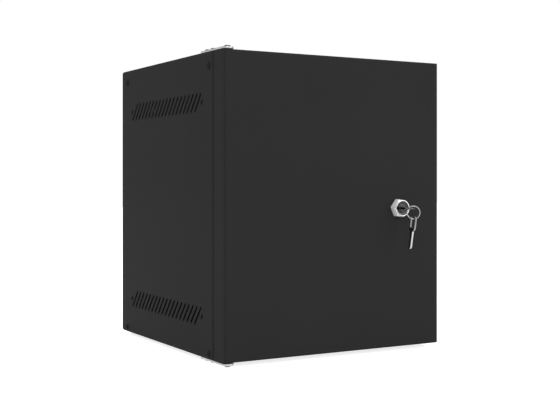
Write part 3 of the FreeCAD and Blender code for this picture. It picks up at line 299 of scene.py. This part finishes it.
def apply_modifier(piece, kind, **values):
    """Adds a modifier with these values and applies it."""
    only(piece)
    modifier = piece.modifiers.new(kind.lower(), kind)
    for name, value in values.items():
        setattr(modifier, name, value)
    bpy.ops.object.modifier_apply(modifier=modifier.name)


def turned(name, steps):
    """A turned form about Z: a disc drawn up through a list of radius and height."""
    radius, height = steps[0]
    deselect_everything()
    bpy.ops.mesh.primitive_circle_add(vertices=SCREW_SIDES, radius=radius, fill_type="NGON",
                                      location=(0, 0, height))
    piece = bpy.context.object
    piece.name = piece.data.name = name
    edit(piece)
    for next_radius, next_height in steps[1:]:
        bpy.ops.mesh.extrude_region_move(
            TRANSFORM_OT_translate={"value": (0, 0, next_height - height)})
        factor = next_radius / radius
        bpy.ops.transform.resize(value=(factor, factor, 1), center_override=(0, 0, next_height))
        radius, height = next_radius, next_height
    done()
    settle(piece)
    outward(piece)
    return piece


def cut_away(piece, tool):
    """Takes the tool's volume out of the piece and removes the tool."""
    apply_modifier(piece, "BOOLEAN", object=tool, operation="DIFFERENCE", solver="EXACT")
    bpy.data.objects.remove(tool)


def wedge(size, at, taper):
    """A bar that narrows downwards, for one arm of a cross recess."""
    deselect_everything()
    bpy.ops.mesh.primitive_cube_add(size=1, location=at)
    tool = bpy.context.object
    tool.scale = size
    settle(tool)
    edit(tool, action="DESELECT")
    pick_faces(tool, lambda normal: normal.z < -0.5)
    bpy.ops.transform.resize(value=(taper, taper, 1),
                             center_override=(at[0], at[1], at[2] - size[2] / 2))
    done()
    return tool


def copy_to(master, name, matrix):
    """A copy of the master with its own mesh, moved by a matrix."""
    only(master)
    bpy.ops.object.duplicate(linked=False)
    copy = bpy.context.object
    copy.name = copy.data.name = name
    copy.data.transform(matrix)
    return copy


def gather(name, pieces):
    """Joins the pieces into one object."""
    deselect_everything()
    for piece in pieces:
        piece.select_set(True)
    bpy.context.view_layer.objects.active = pieces[0]
    bpy.ops.object.join()
    pieces[0].name = pieces[0].data.name = name
    return pieces[0]


def dressed_copy(node, width):
    """A merged copy of a CAD node with its sharp edges broken."""
    only(NODES[node])
    bpy.ops.object.duplicate(linked=False)
    copy = bpy.context.object
    copy.name = copy.data.name = node + "_modelled"
    for key in list(copy.keys()):
        del copy[key]
    copy.parent = None
    edit(copy)
    bpy.ops.mesh.remove_doubles(threshold=MERGE_DISTANCE)
    bpy.ops.mesh.dissolve_limited(angle_limit=FLAT_ANGLE)
    done()
    apply_modifier(copy, "BEVEL", width=width, segments=EDGE_SEGMENTS, limit_method="ANGLE",
                   angle_limit=SHARP_ANGLE, use_clamp_overlap=True)
    smooth(copy)
    return copy


def finish_piece(piece, body, finish, node):
    """Gives a modelled piece its finish, and puts it in the place of its CAD node."""
    piece.data.materials.clear()
    piece.data.materials.append(MATERIALS[finish])
    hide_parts(node)
    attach(piece, body)


def second_tone(piece, finish, test):
    """Gives the faces whose corners and normal pass the test a material of their own, which here carries the
    painted reflection and shade of the lock and the painted highlight of the key blades.
    """
    piece.data.materials.append(MATERIALS[finish])
    index = len(piece.data.materials) - 1
    for face in piece.data.polygons:
        corners = [piece.data.vertices[i].co for i in face.vertices]
        if test(corners, face.normal):
            face.material_index = index


# ------------------------------------------------------------------ nodes of the materials

def new_group(name, inputs, outputs):
    """An empty node group with named sockets, its input node and its output node."""
    group = bpy.data.node_groups.new(name, "ShaderNodeTree")
    for label, kind, default in inputs:
        socket = group.interface.new_socket(name=label, in_out="INPUT", socket_type=kind)
        socket.default_value = default
    for label, kind in outputs:
        group.interface.new_socket(name=label, in_out="OUTPUT", socket_type=kind)
    return group, group.nodes.new("NodeGroupInput"), group.nodes.new("NodeGroupOutput")


def feed(tree, socket, value):
    """Sets a socket to a number, or links another node's output to it."""
    if isinstance(value, (int, float)):
        socket.default_value = value
    else:
        tree.links.new(value, socket)


def object_place(tree):
    return tree.nodes.new("ShaderNodeTexCoord").outputs["Object"]


def math_node(tree, operation, first, second):
    node = tree.nodes.new("ShaderNodeMath")
    node.operation = operation
    feed(tree, node.inputs[0], first)
    feed(tree, node.inputs[1], second)
    return node.outputs[0]


def noise_node(tree, vector, scale, detail):
    node = tree.nodes.new("ShaderNodeTexNoise")
    tree.links.new(vector, node.inputs["Vector"])
    feed(tree, node.inputs["Scale"], scale)
    feed(tree, node.inputs["Detail"], detail)
    return node.outputs["Fac"]


def ranged(tree, value, low=0.0, high=1.0):
    """Spreads a noise over the range from low to high."""
    node = tree.nodes.new("ShaderNodeMapRange")
    node.inputs["From Min"].default_value = NOISE_LOW
    node.inputs["From Max"].default_value = NOISE_HIGH
    node.inputs["To Min"].default_value = low
    node.inputs["To Max"].default_value = high
    tree.links.new(value, node.inputs["Value"])
    return node.outputs[0]


def bump(tree, height, strength, distance):
    node = tree.nodes.new("ShaderNodeBump")
    node.inputs["Strength"].default_value = strength
    node.inputs["Distance"].default_value = distance
    tree.links.new(height, node.inputs["Height"])
    return node.outputs["Normal"]


def powder_group():
    """Powder coat: close orange peel, finer grit, and slow changes of tone."""
    group, source, result = new_group(
        "Powder coat skin",
        [("Peel scale", "NodeSocketFloat", 900.0), ("Grit scale", "NodeSocketFloat", 3500.0),
         ("Tone scale", "NodeSocketFloat", 9.0)],
        [("Height", "NodeSocketFloat"), ("Speckle", "NodeSocketFloat"), ("Tone", "NodeSocketFloat")])
    place = object_place(group)
    peel = noise_node(group, place, scale=source.outputs["Peel scale"], detail=2.0)
    grit = noise_node(group, place, scale=source.outputs["Grit scale"], detail=3.0)
    tone = noise_node(group, place, scale=source.outputs["Tone scale"], detail=3.0)
    both = math_node(group, "ADD", math_node(group, "MULTIPLY", peel, PEEL_SHARE),
                     math_node(group, "MULTIPLY", grit, GRIT_SHARE))
    group.links.new(both, result.inputs["Height"])
    group.links.new(grit, result.inputs["Speckle"])
    group.links.new(tone, result.inputs["Tone"])
    return group


def brushed_group():
    """Fine lines drawn along one axis, with slow clouding between them."""
    group, source, result = new_group(
        "Drawn lines",
        [("Line scale", "NodeSocketFloat", 2500.0), ("Cloud scale", "NodeSocketFloat", 60.0),
         ("Stretch", "NodeSocketVector", (1.0, 0.03, 1.0))],
        [("Height", "NodeSocketFloat"), ("Cloud", "NodeSocketFloat")])
    place = object_place(group)
    scaled = group.nodes.new("ShaderNodeVectorMath")
    scaled.operation = "MULTIPLY"
    group.links.new(place, scaled.inputs[0])
    group.links.new(source.outputs["Stretch"], scaled.inputs[1])
    lines = noise_node(group, scaled.outputs[0], scale=source.outputs["Line scale"], detail=2.0)
    cloud = noise_node(group, place, scale=source.outputs["Cloud scale"], detail=4.0)
    group.links.new(lines, result.inputs["Height"])
    group.links.new(cloud, result.inputs["Cloud"])
    return group


def tone_group():
    """Mixes a dark and a light colour by a mask."""
    group, source, result = new_group(
        "Two tones",
        [("Mask", "NodeSocketFloat", 0.5), ("Dark", "NodeSocketColor", (0, 0, 0, 1)),
         ("Light", "NodeSocketColor", (1, 1, 1, 1))],
        [("Color", "NodeSocketColor")])
    mix = group.nodes.new("ShaderNodeMix")
    mix.data_type = "RGBA"
    group.links.new(ranged(group, source.outputs["Mask"]), mix.inputs["Factor"])
    group.links.new(source.outputs["Dark"], mix.inputs["A"])
    group.links.new(source.outputs["Light"], mix.inputs["B"])
    group.links.new(mix.outputs["Result"], result.inputs["Color"])
    return group


GROUP_MAKERS = {"powder": powder_group, "brushed": brushed_group, "tones": tone_group}
GROUPS = {}
MATERIALS = {}


def group_node(tree, name):
    """A node of a shared group, which is built the first time that it is asked for."""
    if name not in GROUPS:
        GROUPS[name] = GROUP_MAKERS[name]()
    node = tree.nodes.new("ShaderNodeGroup")
    node.node_tree = GROUPS[name]
    return node


def colours(tree, dark, light, mask):
    node = group_node(tree, "tones")
    node.inputs["Dark"].default_value = (*dark, 1)
    node.inputs["Light"].default_value = (*light, 1)
    tree.links.new(mask, node.inputs["Mask"])
    return node.outputs["Color"]


# ------------------------------------------------------------------ materials

def toned(colour, share):
    """The colour made darker or lighter by a share."""
    return tuple(min(1.0, c * share) for c in colour)


def new_material(name, metallic, specular):
    material = bpy.data.materials.new(name)
    material.use_nodes = True
    shader = material.node_tree.nodes["Principled BSDF"]
    shader.inputs["Metallic"].default_value = metallic
    shader.inputs["Specular IOR Level"].default_value = specular
    return material, material.node_tree, shader


def dress_shader(tree, shader, colour, roughness, normal):
    tree.links.new(colour, shader.inputs["Base Color"])
    tree.links.new(roughness, shader.inputs["Roughness"])
    tree.links.new(normal, shader.inputs["Normal"])


def painted(name, dark, light, rough, specular, peel=900.0, strength=0.12):
    """A paint or a plastic with a fine orange peel."""
    material, tree, shader = new_material(name, metallic=0.0, specular=specular)
    skin = group_node(tree, "powder")
    skin.inputs["Peel scale"].default_value = peel
    dress_shader(tree, shader, colours(tree, dark, light, skin.outputs["Tone"]),
                 ranged(tree, skin.outputs["Speckle"], *rough),
                 bump(tree, skin.outputs["Height"], strength, PEEL_DEPTH))
    return material


def metal(name, dark, light, rough, stretch, lines=2500.0, strength=0.1, metallic=1.0):
    """A metal with fine drawn lines."""
    material, tree, shader = new_material(name, metallic=metallic, specular=0.5)
    drawn = group_node(tree, "brushed")
    drawn.inputs["Line scale"].default_value = lines
    drawn.inputs["Stretch"].default_value = stretch
    dress_shader(tree, shader, colours(tree, dark, light, drawn.outputs["Cloud"]),
                 ranged(tree, drawn.outputs["Height"], *rough),
                 bump(tree, drawn.outputs["Height"], strength, LINE_DEPTH))
    return material


def make_materials(finish):
    """Builds the materials of the cabinet from the colours of the panel."""
    body = tuple(finish.body_colour)
    zinc = tuple(finish.zinc_colour)
    MATERIALS["powder"] = painted(
        "Black powder coat", dark=body, light=toned(body, POWDER_TONE),
        rough=(0.6, 0.68), specular=0.035)
    MATERIALS["black screws"] = painted(
        "Black screws", dark=(0.013, 0.013, 0.013), light=(0.018, 0.018, 0.018),
        rough=(0.5, 0.6), specular=0.06, peel=2500.0, strength=0.05)
    MATERIALS["zinc"] = metal(
        "Bright zinc", dark=toned(zinc, ZINC_TONE), light=zinc,
        rough=(0.3, 0.42), stretch=(1.0, 0.05, 1.0))
    MATERIALS["chrome"] = metal(
        "Lock chrome", dark=(0.4, 0.4, 0.405), light=(0.5, 0.5, 0.505),
        rough=(0.12, 0.2), stretch=(1.0, 1.0, 1.0), lines=1200.0, strength=0.03)
    # Near-white and almost not metallic: a painted reflection of a bright surround on the side facets of the lock,
    # with a satin roughness.
    MATERIALS["facet reflection chrome"] = metal(
        "Lock chrome, painted facet reflection", dark=(0.84, 0.84, 0.84), light=(0.94, 0.94, 0.94),
        rough=(0.36, 0.46), stretch=(1.0, 0.05, 1.0), lines=1800.0, strength=0.05, metallic=0.1)
    # A dark copy of the lock chrome: painted shade in the recess of the lock and on its plug.
    MATERIALS["recess shade chrome"] = metal(
        "Lock chrome, painted recess shade", dark=(0.03, 0.03, 0.03), light=(0.05, 0.05, 0.05),
        rough=(0.14, 0.24), stretch=(1.0, 1.0, 1.0), lines=1600.0, strength=0.04)
    MATERIALS["key bow"] = metal(
        "Key bow nickel", dark=(0.17, 0.17, 0.167), light=(0.24, 0.24, 0.235),
        rough=(0.28, 0.38), stretch=(1.0, 0.05, 0.05))
    # A dark copy of the key nickel: painted shade on the bow of the key in the lock.
    MATERIALS["painted shade bow"] = metal(
        "Key bow nickel, painted shade", dark=(0.05, 0.05, 0.05), light=(0.08, 0.08, 0.08),
        rough=(0.2, 0.3), stretch=(1.0, 0.05, 0.05))
    # A lighter copy of the key nickel: a painted highlight on the blades of both keys.
    MATERIALS["key blade"] = metal(
        "Key nickel, painted blade highlight", dark=(0.4, 0.4, 0.395), light=(0.5, 0.5, 0.49),
        rough=(0.2, 0.32), stretch=(1.0, 1.0, 0.05))
    MATERIALS["wire"] = metal(
        "Ring wire", dark=(0.3, 0.3, 0.3), light=(0.4, 0.4, 0.4),
        rough=(0.16, 0.26), stretch=(0.2, 0.2, 0.2), strength=0.04)
    MATERIALS["nylon"] = painted(
        "Black nylon", dark=(0.02, 0.02, 0.02), light=(0.03, 0.03, 0.03),
        rough=(0.4, 0.5), specular=0.4, peel=1500.0, strength=0.05)
    MATERIALS["rubber"] = painted(
        "Soft rubber", dark=(0.016, 0.016, 0.016), light=(0.026, 0.026, 0.026),
        rough=(0.75, 0.9), specular=0.3, peel=4000.0, strength=0.2)


def seen_directly(tree):
    """1 where the camera sees a surface or the world by itself, in a reflection or through glass."""
    path = tree.nodes.new("ShaderNodeLightPath")
    seen = math_node(tree, "MAXIMUM", path.outputs["Is Camera Ray"], path.outputs["Is Glossy Ray"])
    return math_node(tree, "MAXIMUM", seen, path.outputs["Is Transmission Ray"])


def floor_material(colour):
    """A pale floor that shows white by itself and keeps the shadow of the cabinet."""
    material, tree, shader = new_material("Pale floor", metallic=0.0, specular=0.2)
    grain = noise_node(tree, object_place(tree), scale=40.0, detail=4.0)
    dress_shader(tree, shader, colours(tree, toned(colour, FLOOR_TONE), colour, grain),
                 ranged(tree, grain, low=0.7, high=0.8),
                 bump(tree, grain, strength=0.02, distance=STAGE_DEPTH))
    shader.inputs["Emission Color"].default_value = (1, 1, 1, 1)
    tree.links.new(math_node(tree, "MULTIPLY", seen_directly(tree), FLOOR_GLOW),
                   shader.inputs["Emission Strength"])
    return material


def wall_material(colour):
    """Paint of the wall behind the cabinet: the camera sees its front, and all else goes through."""
    material, tree, shader = new_material("Wall paint", metallic=0.0, specular=0.2)
    grain = noise_node(tree, object_place(tree), scale=300.0, detail=4.0)
    dress_shader(tree, shader, colours(tree, toned(colour, WALL_TONE), colour, grain),
                 ranged(tree, grain, low=0.8, high=0.9),
                 bump(tree, grain, strength=0.1, distance=STAGE_DEPTH))
    camera_ray = tree.nodes.new("ShaderNodeLightPath").outputs["Is Camera Ray"]
    back = tree.nodes.new("ShaderNodeNewGeometry").outputs["Backfacing"]
    front = math_node(tree, "SUBTRACT", 1.0, back)
    clear = tree.nodes.new("ShaderNodeBsdfTransparent")
    mix = tree.nodes.new("ShaderNodeMixShader")
    tree.links.new(math_node(tree, "MULTIPLY", camera_ray, front), mix.inputs[0])
    tree.links.new(clear.outputs[0], mix.inputs[1])
    tree.links.new(shader.outputs[0], mix.inputs[2])
    tree.links.new(mix.outputs[0], tree.nodes["Material Output"].inputs["Surface"])
    return material


# ------------------------------------------------------------------ settings

class CabinetFinish(bpy.types.PropertyGroup):
    body_colour: bpy.props.FloatVectorProperty(
        name="Powder coat", description="Colour of the powder coat", subtype="COLOR",
        size=3, default=(0.0222, 0.0222, 0.0223), min=0, max=1)
    zinc_colour: bpy.props.FloatVectorProperty(
        name="Zinc", description="Colour of the zinc-plated parts", subtype="COLOR",
        size=3, default=(0.44, 0.44, 0.45), min=0, max=1)
    floor_colour: bpy.props.FloatVectorProperty(
        name="Floor", description="Colour of the floor", subtype="COLOR",
        size=3, default=(0.9, 0.9, 0.9), min=0, max=1)


class CabinetSizes(bpy.types.PropertyGroup):
    recess_depth: bpy.props.FloatProperty(
        name="Recess depth", description="Depth of the cross recess in a screw head",
        default=1.2 * MM, unit="LENGTH")
    recess_arm: bpy.props.FloatProperty(
        name="Recess arm", description="Length of the cross recess over its arms",
        default=4.2 * MM, unit="LENGTH")
    edge_break: bpy.props.FloatProperty(
        name="Edge break", description="Bevel on the edges of punched and turned parts",
        default=0.15 * MM, unit="LENGTH")


# ------------------------------------------------------------------ finishes

class CABINET_OT_finishes(bpy.types.Operator):
    """Gives every CAD part the finish of its material slot"""
    bl_idname = "cabinet.finishes"
    bl_label = "Finishes"

    def execute(self, context):
        make_materials(context.scene.cabinet_finish)
        slots = {part["node"]: part["material_slot"] for part in frame["record"]["subparts"]}
        for name, node in NODES.items():
            node.data.materials.clear()
            node.data.materials.append(MATERIALS[SLOT_FINISH[slots[name]]])
        return {"FINISHED"}


# ------------------------------------------------------------------ screws

def cross_recess(screw, top, sizes):
    """Cuts a cross recess down from the top of a screw's head."""
    arm, depth = sizes.recess_arm, sizes.recess_depth
    thick = arm * RECESS_WIDTH
    for size in ((arm, thick, depth), (thick, arm, depth)):
        cut_away(screw, wedge(size, (0, 0, top - depth / 2 + RECESS_CLEAR), RECESS_TAPER))


def pan_screw(head_radius, length, sizes):
    """A pan-head screw along Z, with its seat at the origin, a cross recess and a thread."""
    height = -length + PAN_POINT
    steps = [(SHANK_RADIUS * PAN_POINT_SHARE, -length), (SHANK_RADIUS * THREAD_ROOT, height)]
    while height < -PLAIN_SHANK:
        steps += [(SHANK_RADIUS * share, height + THREAD_PITCH * rise) for share, rise in THREAD_PROFILE]
        height += THREAD_PITCH
    steps += [(SHANK_RADIUS, height + RUN_OUT), (SHANK_RADIUS, 0), (head_radius, 0)]
    for step in range(1, PAN_STEPS + 1):
        angle = math.radians(90 / PAN_STEPS * step)
        share = PAN_FLAT + (1 - PAN_FLAT) * math.cos(angle)
        steps.append((head_radius * share, PAN_RISE * math.sin(angle)))
    screw = turned("pan_screw", steps)
    cross_recess(screw, PAN_RISE, sizes)
    smooth(screw)
    return screw


def sunk_screw(head_radius, length, sizes):
    """A countersunk screw along Z, with the top of its head at the origin and a cross recess."""
    screw = turned("rear_screw", [
        (SHANK_RADIUS * SUNK_POINT_SHARE, -length), (SHANK_RADIUS, -length + SUNK_POINT),
        (SHANK_RADIUS, SHANK_RADIUS - head_radius),
        (head_radius * SUNK_RIM_SHARE, -SUNK_RIM), (head_radius, 0)])
    cross_recess(screw, 0, sizes)
    smooth(screw)
    return screw


def placed(seat, way, turns, index):
    """The matrix that takes a screw to its seat, with its head pointing the given way."""
    first, step = turns
    aim = UP.rotation_difference(way).to_matrix().to_4x4()
    return Matrix.Translation(seat) @ aim @ Matrix.Rotation(first + step * index, 4, "Z")


def screw_group(node, master, places):
    """Copies a screw to its places, as one piece that stands for the CAD node."""
    pieces = [copy_to(master, "%s_%d" % (node, index), place) for index, place in enumerate(places)]
    bpy.data.objects.remove(master)
    finish_piece(gather(node + "_modelled", pieces), "cabinet", "black screws", node)


class CABINET_OT_screws(bpy.types.Operator):
    """Models the pan-head screws of the body, the rails, the covers and the hinge plates"""
    bl_idname = "cabinet.screws"
    bl_label = "Pan-head screws"

    def execute(self, context):
        for node, heading in SCREW_GROUPS:
            along, across = (0, 1) if heading else (2, 0)
            middle = (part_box(node)[0].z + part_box(node)[1].z) / 2
            boxes = solids(node)
            low, high = boxes[0]
            master = pan_screw((high[across] - low[across]) / 2, high[along] - low[along] - PAN_RISE,
                               context.scene.cabinet_sizes)
            places = []
            for index, (low, high) in enumerate(boxes):
                seat = (low + high) / 2
                way = heading or (UP if seat.z > middle else DOWN)
                tip = high[along] if way[along] > 0 else low[along]
                seat[along] = tip - way[along] * PAN_RISE
                places.append(placed(seat, way, PAN_TURNS, index))
            screw_group(node, master, places)
        return {"FINISHED"}


class CABINET_OT_rear_screws(bpy.types.Operator):
    """Models the countersunk screws of the rear panel"""
    bl_idname = "cabinet.rear_screws"
    bl_label = "Rear screws"

    def execute(self, context):
        boxes = solids("rear_screws")
        low, high = boxes[0]
        master = sunk_screw((high.x - low.x) / 2, high.y - low.y, context.scene.cabinet_sizes)
        places = []
        for index, (low, high) in enumerate(boxes):
            seat = Vector(((low.x + high.x) / 2, high.y, (low.z + high.z) / 2))
            places.append(placed(seat, BACK, SUNK_TURNS, index))
        screw_group("rear_screws", master, places)
        return {"FINISHED"}


# ------------------------------------------------------------------ hinges, lock and keys

def from_lock_axis(point):
    return math.hypot(point.x - LOCK_X, point.z - LOCK_Z)


def is_reflecting_facet(corners, normal):
    """Whether a face is a side facet of the hexagon, which gets the painted reflection."""
    return abs(normal.y) < FACET_LEAN and min(map(from_lock_axis, corners)) > LOCK_RECESS + LOCK_RIM


def is_shaded_recess(corners, normal):
    """Whether a face is in the recess of the hexagon, or further in, where the lock gets painted shade."""
    return max(map(from_lock_axis, corners)) < LOCK_RECESS + LOCK_RIM


def is_any(corners, normal):
    return True


# Second materials of the lock: a painted reflection on the side facets, and painted shade in the recess and on the
# plug.
LOCK_LIGHT_AND_SHADE = {
    "lock_housing": (("facet reflection chrome", is_reflecting_facet), ("recess shade chrome", is_shaded_recess)),
    "lock_cylinder": (("recess shade chrome", is_any),),
}


def lit_blade_test(node):
    """The test that finds the faces of a key's blade, which points to the wall or hangs down, and gets the lighter
    nickel of the painted highlight.
    """
    low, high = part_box(node)
    if high.y - low.y > high.z - low.z:
        shoulder = low.y + (high.y - low.y) * BOW_SHARE
        return lambda corners, normal: all(point.y > shoulder for point in corners)
    shoulder = high.z - (high.z - low.z) * BOW_SHARE
    return lambda corners, normal: all(point.z < shoulder for point in corners)


class CABINET_OT_small_parts(bpy.types.Operator):
    """Breaks the edges of the hinge plates, pins, nuts, lock and cam"""
    bl_idname = "cabinet.small_parts"
    bl_label = "Hinges, nuts and lock"

    def execute(self, context):
        for node, body, slot, finish in BROKEN_EDGES:
            piece = dressed_copy(node, context.scene.cabinet_sizes.edge_break)
            finish_piece(piece, body, finish, node)
            for second, test in LOCK_LIGHT_AND_SHADE.get(node, ()):
                second_tone(piece, second, test)
        return {"FINISHED"}


class CABINET_OT_keys(bpy.types.Operator):
    """Models the two keys with broken edges, a blade painted lighter as a highlight, and the bow of the key in the
    lock painted darker as shade
    """
    bl_idname = "cabinet.keys"
    bl_label = "Keys"

    def execute(self, context):
        for node, body, bow in KEYS:
            piece = dressed_copy(node, context.scene.cabinet_sizes.edge_break)
            finish_piece(piece, body, bow, node)
            second_tone(piece, "key blade", lit_blade_test(node))
        return {"FINISHED"}


class CABINET_OT_key_ring(bpy.types.Operator):
    """Winds the split ring from two turns of wire"""
    bl_idname = "cabinet.key_ring"
    bl_label = "Key ring"

    def execute(self, context):
        low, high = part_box("key_ring")
        centre = (low + high) / 2
        joint = [j for j in frame["joints"] if j["name"] == "ring_swing"][0]
        radius = joint["pos_m"][2] - centre.z
        wire = (high.z - low.z) / 2 - radius
        deselect_everything()
        bpy.ops.mesh.primitive_circle_add(vertices=WIRE_SIDES, radius=wire, fill_type="NOTHING",
                                          location=(radius, 0, 0), rotation=(math.pi / 2, 0, 0))
        ring = bpy.context.object
        ring.name = ring.data.name = "key_ring_modelled"
        settle(ring)
        apply_modifier(ring, "SCREW", axis="Z", angle=math.radians(RING_SWEEP),
                       screw_offset=wire * 2 * RING_SWEEP / 360, iterations=RING_TURNS,
                       steps=RING_STEPS, render_steps=RING_STEPS, use_merge_vertices=False)
        edit(ring, "VERT")
        bpy.ops.mesh.remove_doubles(threshold=MERGE_DISTANCE)
        bpy.ops.mesh.select_all(action="DESELECT")
        bpy.ops.mesh.select_mode(type="EDGE")
        bpy.ops.mesh.select_non_manifold(extend=False)
        bpy.ops.mesh.edge_face_add()
        done()
        outward(ring)
        middle = sum(v.co.z for v in ring.data.vertices) / len(ring.data.vertices)
        ring.data.transform(Matrix.Translation((0, 0, -middle)))
        across = Vector(joint["axis"]).normalized()
        turn = Matrix((across, UP, across.cross(UP))).transposed().to_4x4()
        ring.data.transform(Matrix.Translation(centre) @ turn)
        smooth(ring, RING_SMOOTH)
        finish_piece(ring, "ring", "wire", "key_ring")
        return {"FINISHED"}


# ------------------------------------------------------------------ stage

def stage_plane(name, material, size, location, rotation=(0, 0, 0), scale=(1, 1, 1)):
    """A plane of the stage, cut into a few faces."""
    deselect_everything()
    bpy.ops.mesh.primitive_plane_add(size=size, location=location, rotation=rotation)
    plane = bpy.context.object
    plane.name = name
    plane.scale = scale
    settle(plane)
    edit(plane)
    bpy.ops.mesh.subdivide(number_cuts=STAGE_CUTS)
    done()
    plane.data.materials.append(material)
    return plane


def add_lamp(scene, name, place, size, power):
    light = bpy.data.lights.new(name, "AREA")
    light.shape = "RECTANGLE"
    light.size = light.size_y = size
    light.energy = power
    lamp = bpy.data.objects.new(name, light)
    scene.collection.objects.link(lamp)
    lamp.location = place
    lamp.rotation_euler = (Vector(LAMP_AIM) - Vector(place)).to_track_quat("-Z", "Y").to_euler()


def studio_world():
    """A world that shows white by itself and lights the cabinet at a lower level."""
    world = bpy.data.worlds.new("Studio")
    world.use_nodes = True
    tree = world.node_tree
    background = tree.nodes["Background"]
    background.inputs["Color"].default_value = (1, 1, 1, 1)
    extra = math_node(tree, "MULTIPLY", seen_directly(tree), 1.0 - WORLD_LEVEL)
    tree.links.new(math_node(tree, "ADD", extra, WORLD_LEVEL), background.inputs["Strength"])
    return world


def add_camera(scene):
    lens = bpy.data.cameras.new("camera")
    lens.sensor_fit = "HORIZONTAL"
    lens.sensor_width = SENSOR
    lens.lens = LENS
    lens.shift_x, lens.shift_y = SHIFT
    lens.clip_start, lens.clip_end = CLIP
    camera = bpy.data.objects.new("camera", lens)
    scene.collection.objects.link(camera)
    camera.location = CAMERA_PLACE
    camera.rotation_euler = (math.pi / 2, 0, -CAMERA_TURN)
    scene.camera = camera


class CABINET_OT_stage(bpy.types.Operator):
    """Sets the floor, the wall behind the cabinet, the lamps, the world and the camera"""
    bl_idname = "cabinet.stage"
    bl_label = "Stage"

    def execute(self, context):
        scene = context.scene
        colour = tuple(scene.cabinet_finish.floor_colour)
        floor = stage_plane("floor", floor_material(colour), FLOOR_SIZE,
                            (0, 0, CAD_BOX[0][2] - FLOOR_GAP))
        low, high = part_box("rear_panel")
        wall = stage_plane("wall_behind", wall_material(colour), 1, (0, high.y + WALL_GAP, 0),
                           rotation=(math.pi / 2, 0, 0),
                           scale=(high.x - low.x - WALL_MARGIN, high.z - low.z - WALL_MARGIN, 1))
        for lamp in LAMPS:
            add_lamp(scene, *lamp)
        scene.world = studio_world()
        scene.view_settings.view_transform = "Standard"
        add_camera(scene)
        return {"FINISHED"}


# ------------------------------------------------------------------ panel and registration

PIECE_OPERATORS = (
    CABINET_OT_finishes, CABINET_OT_screws, CABINET_OT_rear_screws, CABINET_OT_small_parts,
    CABINET_OT_keys, CABINET_OT_key_ring, CABINET_OT_stage,
)


class CABINET_PT_panel(bpy.types.Panel):
    """Lists the sizes, the colours and the steps of the cabinet"""
    bl_idname = "CABINET_PT_panel"
    bl_label = "Network cabinet"
    bl_space_type = "VIEW_3D"
    bl_region_type = "UI"
    bl_category = "Cabinet"

    def draw(self, context):
        column = self.layout.column()
        for name in ("body_colour", "zinc_colour", "floor_colour"):
            column.prop(context.scene.cabinet_finish, name)
        for name in ("recess_depth", "recess_arm", "edge_break"):
            column.prop(context.scene.cabinet_sizes, name)
        for operator in PIECE_OPERATORS:
            column.operator(operator.bl_idname)


CLASSES = (CabinetFinish, CabinetSizes) + PIECE_OPERATORS + (CABINET_PT_panel,)


def register():
    for item in CLASSES:
        bpy.utils.register_class(item)
    bpy.types.Scene.cabinet_finish = bpy.props.PointerProperty(type=CabinetFinish)
    bpy.types.Scene.cabinet_sizes = bpy.props.PointerProperty(type=CabinetSizes)


def unregister():
    del bpy.types.Scene.cabinet_sizes
    del bpy.types.Scene.cabinet_finish
    for item in reversed(CLASSES):
        bpy.utils.unregister_class(item)


def main():
    register()
    for operator in PIECE_OPERATORS:
        area, name = operator.bl_idname.split(".")
        getattr(getattr(bpy.ops, area), name)()


if __name__ == "__main__":
    main()
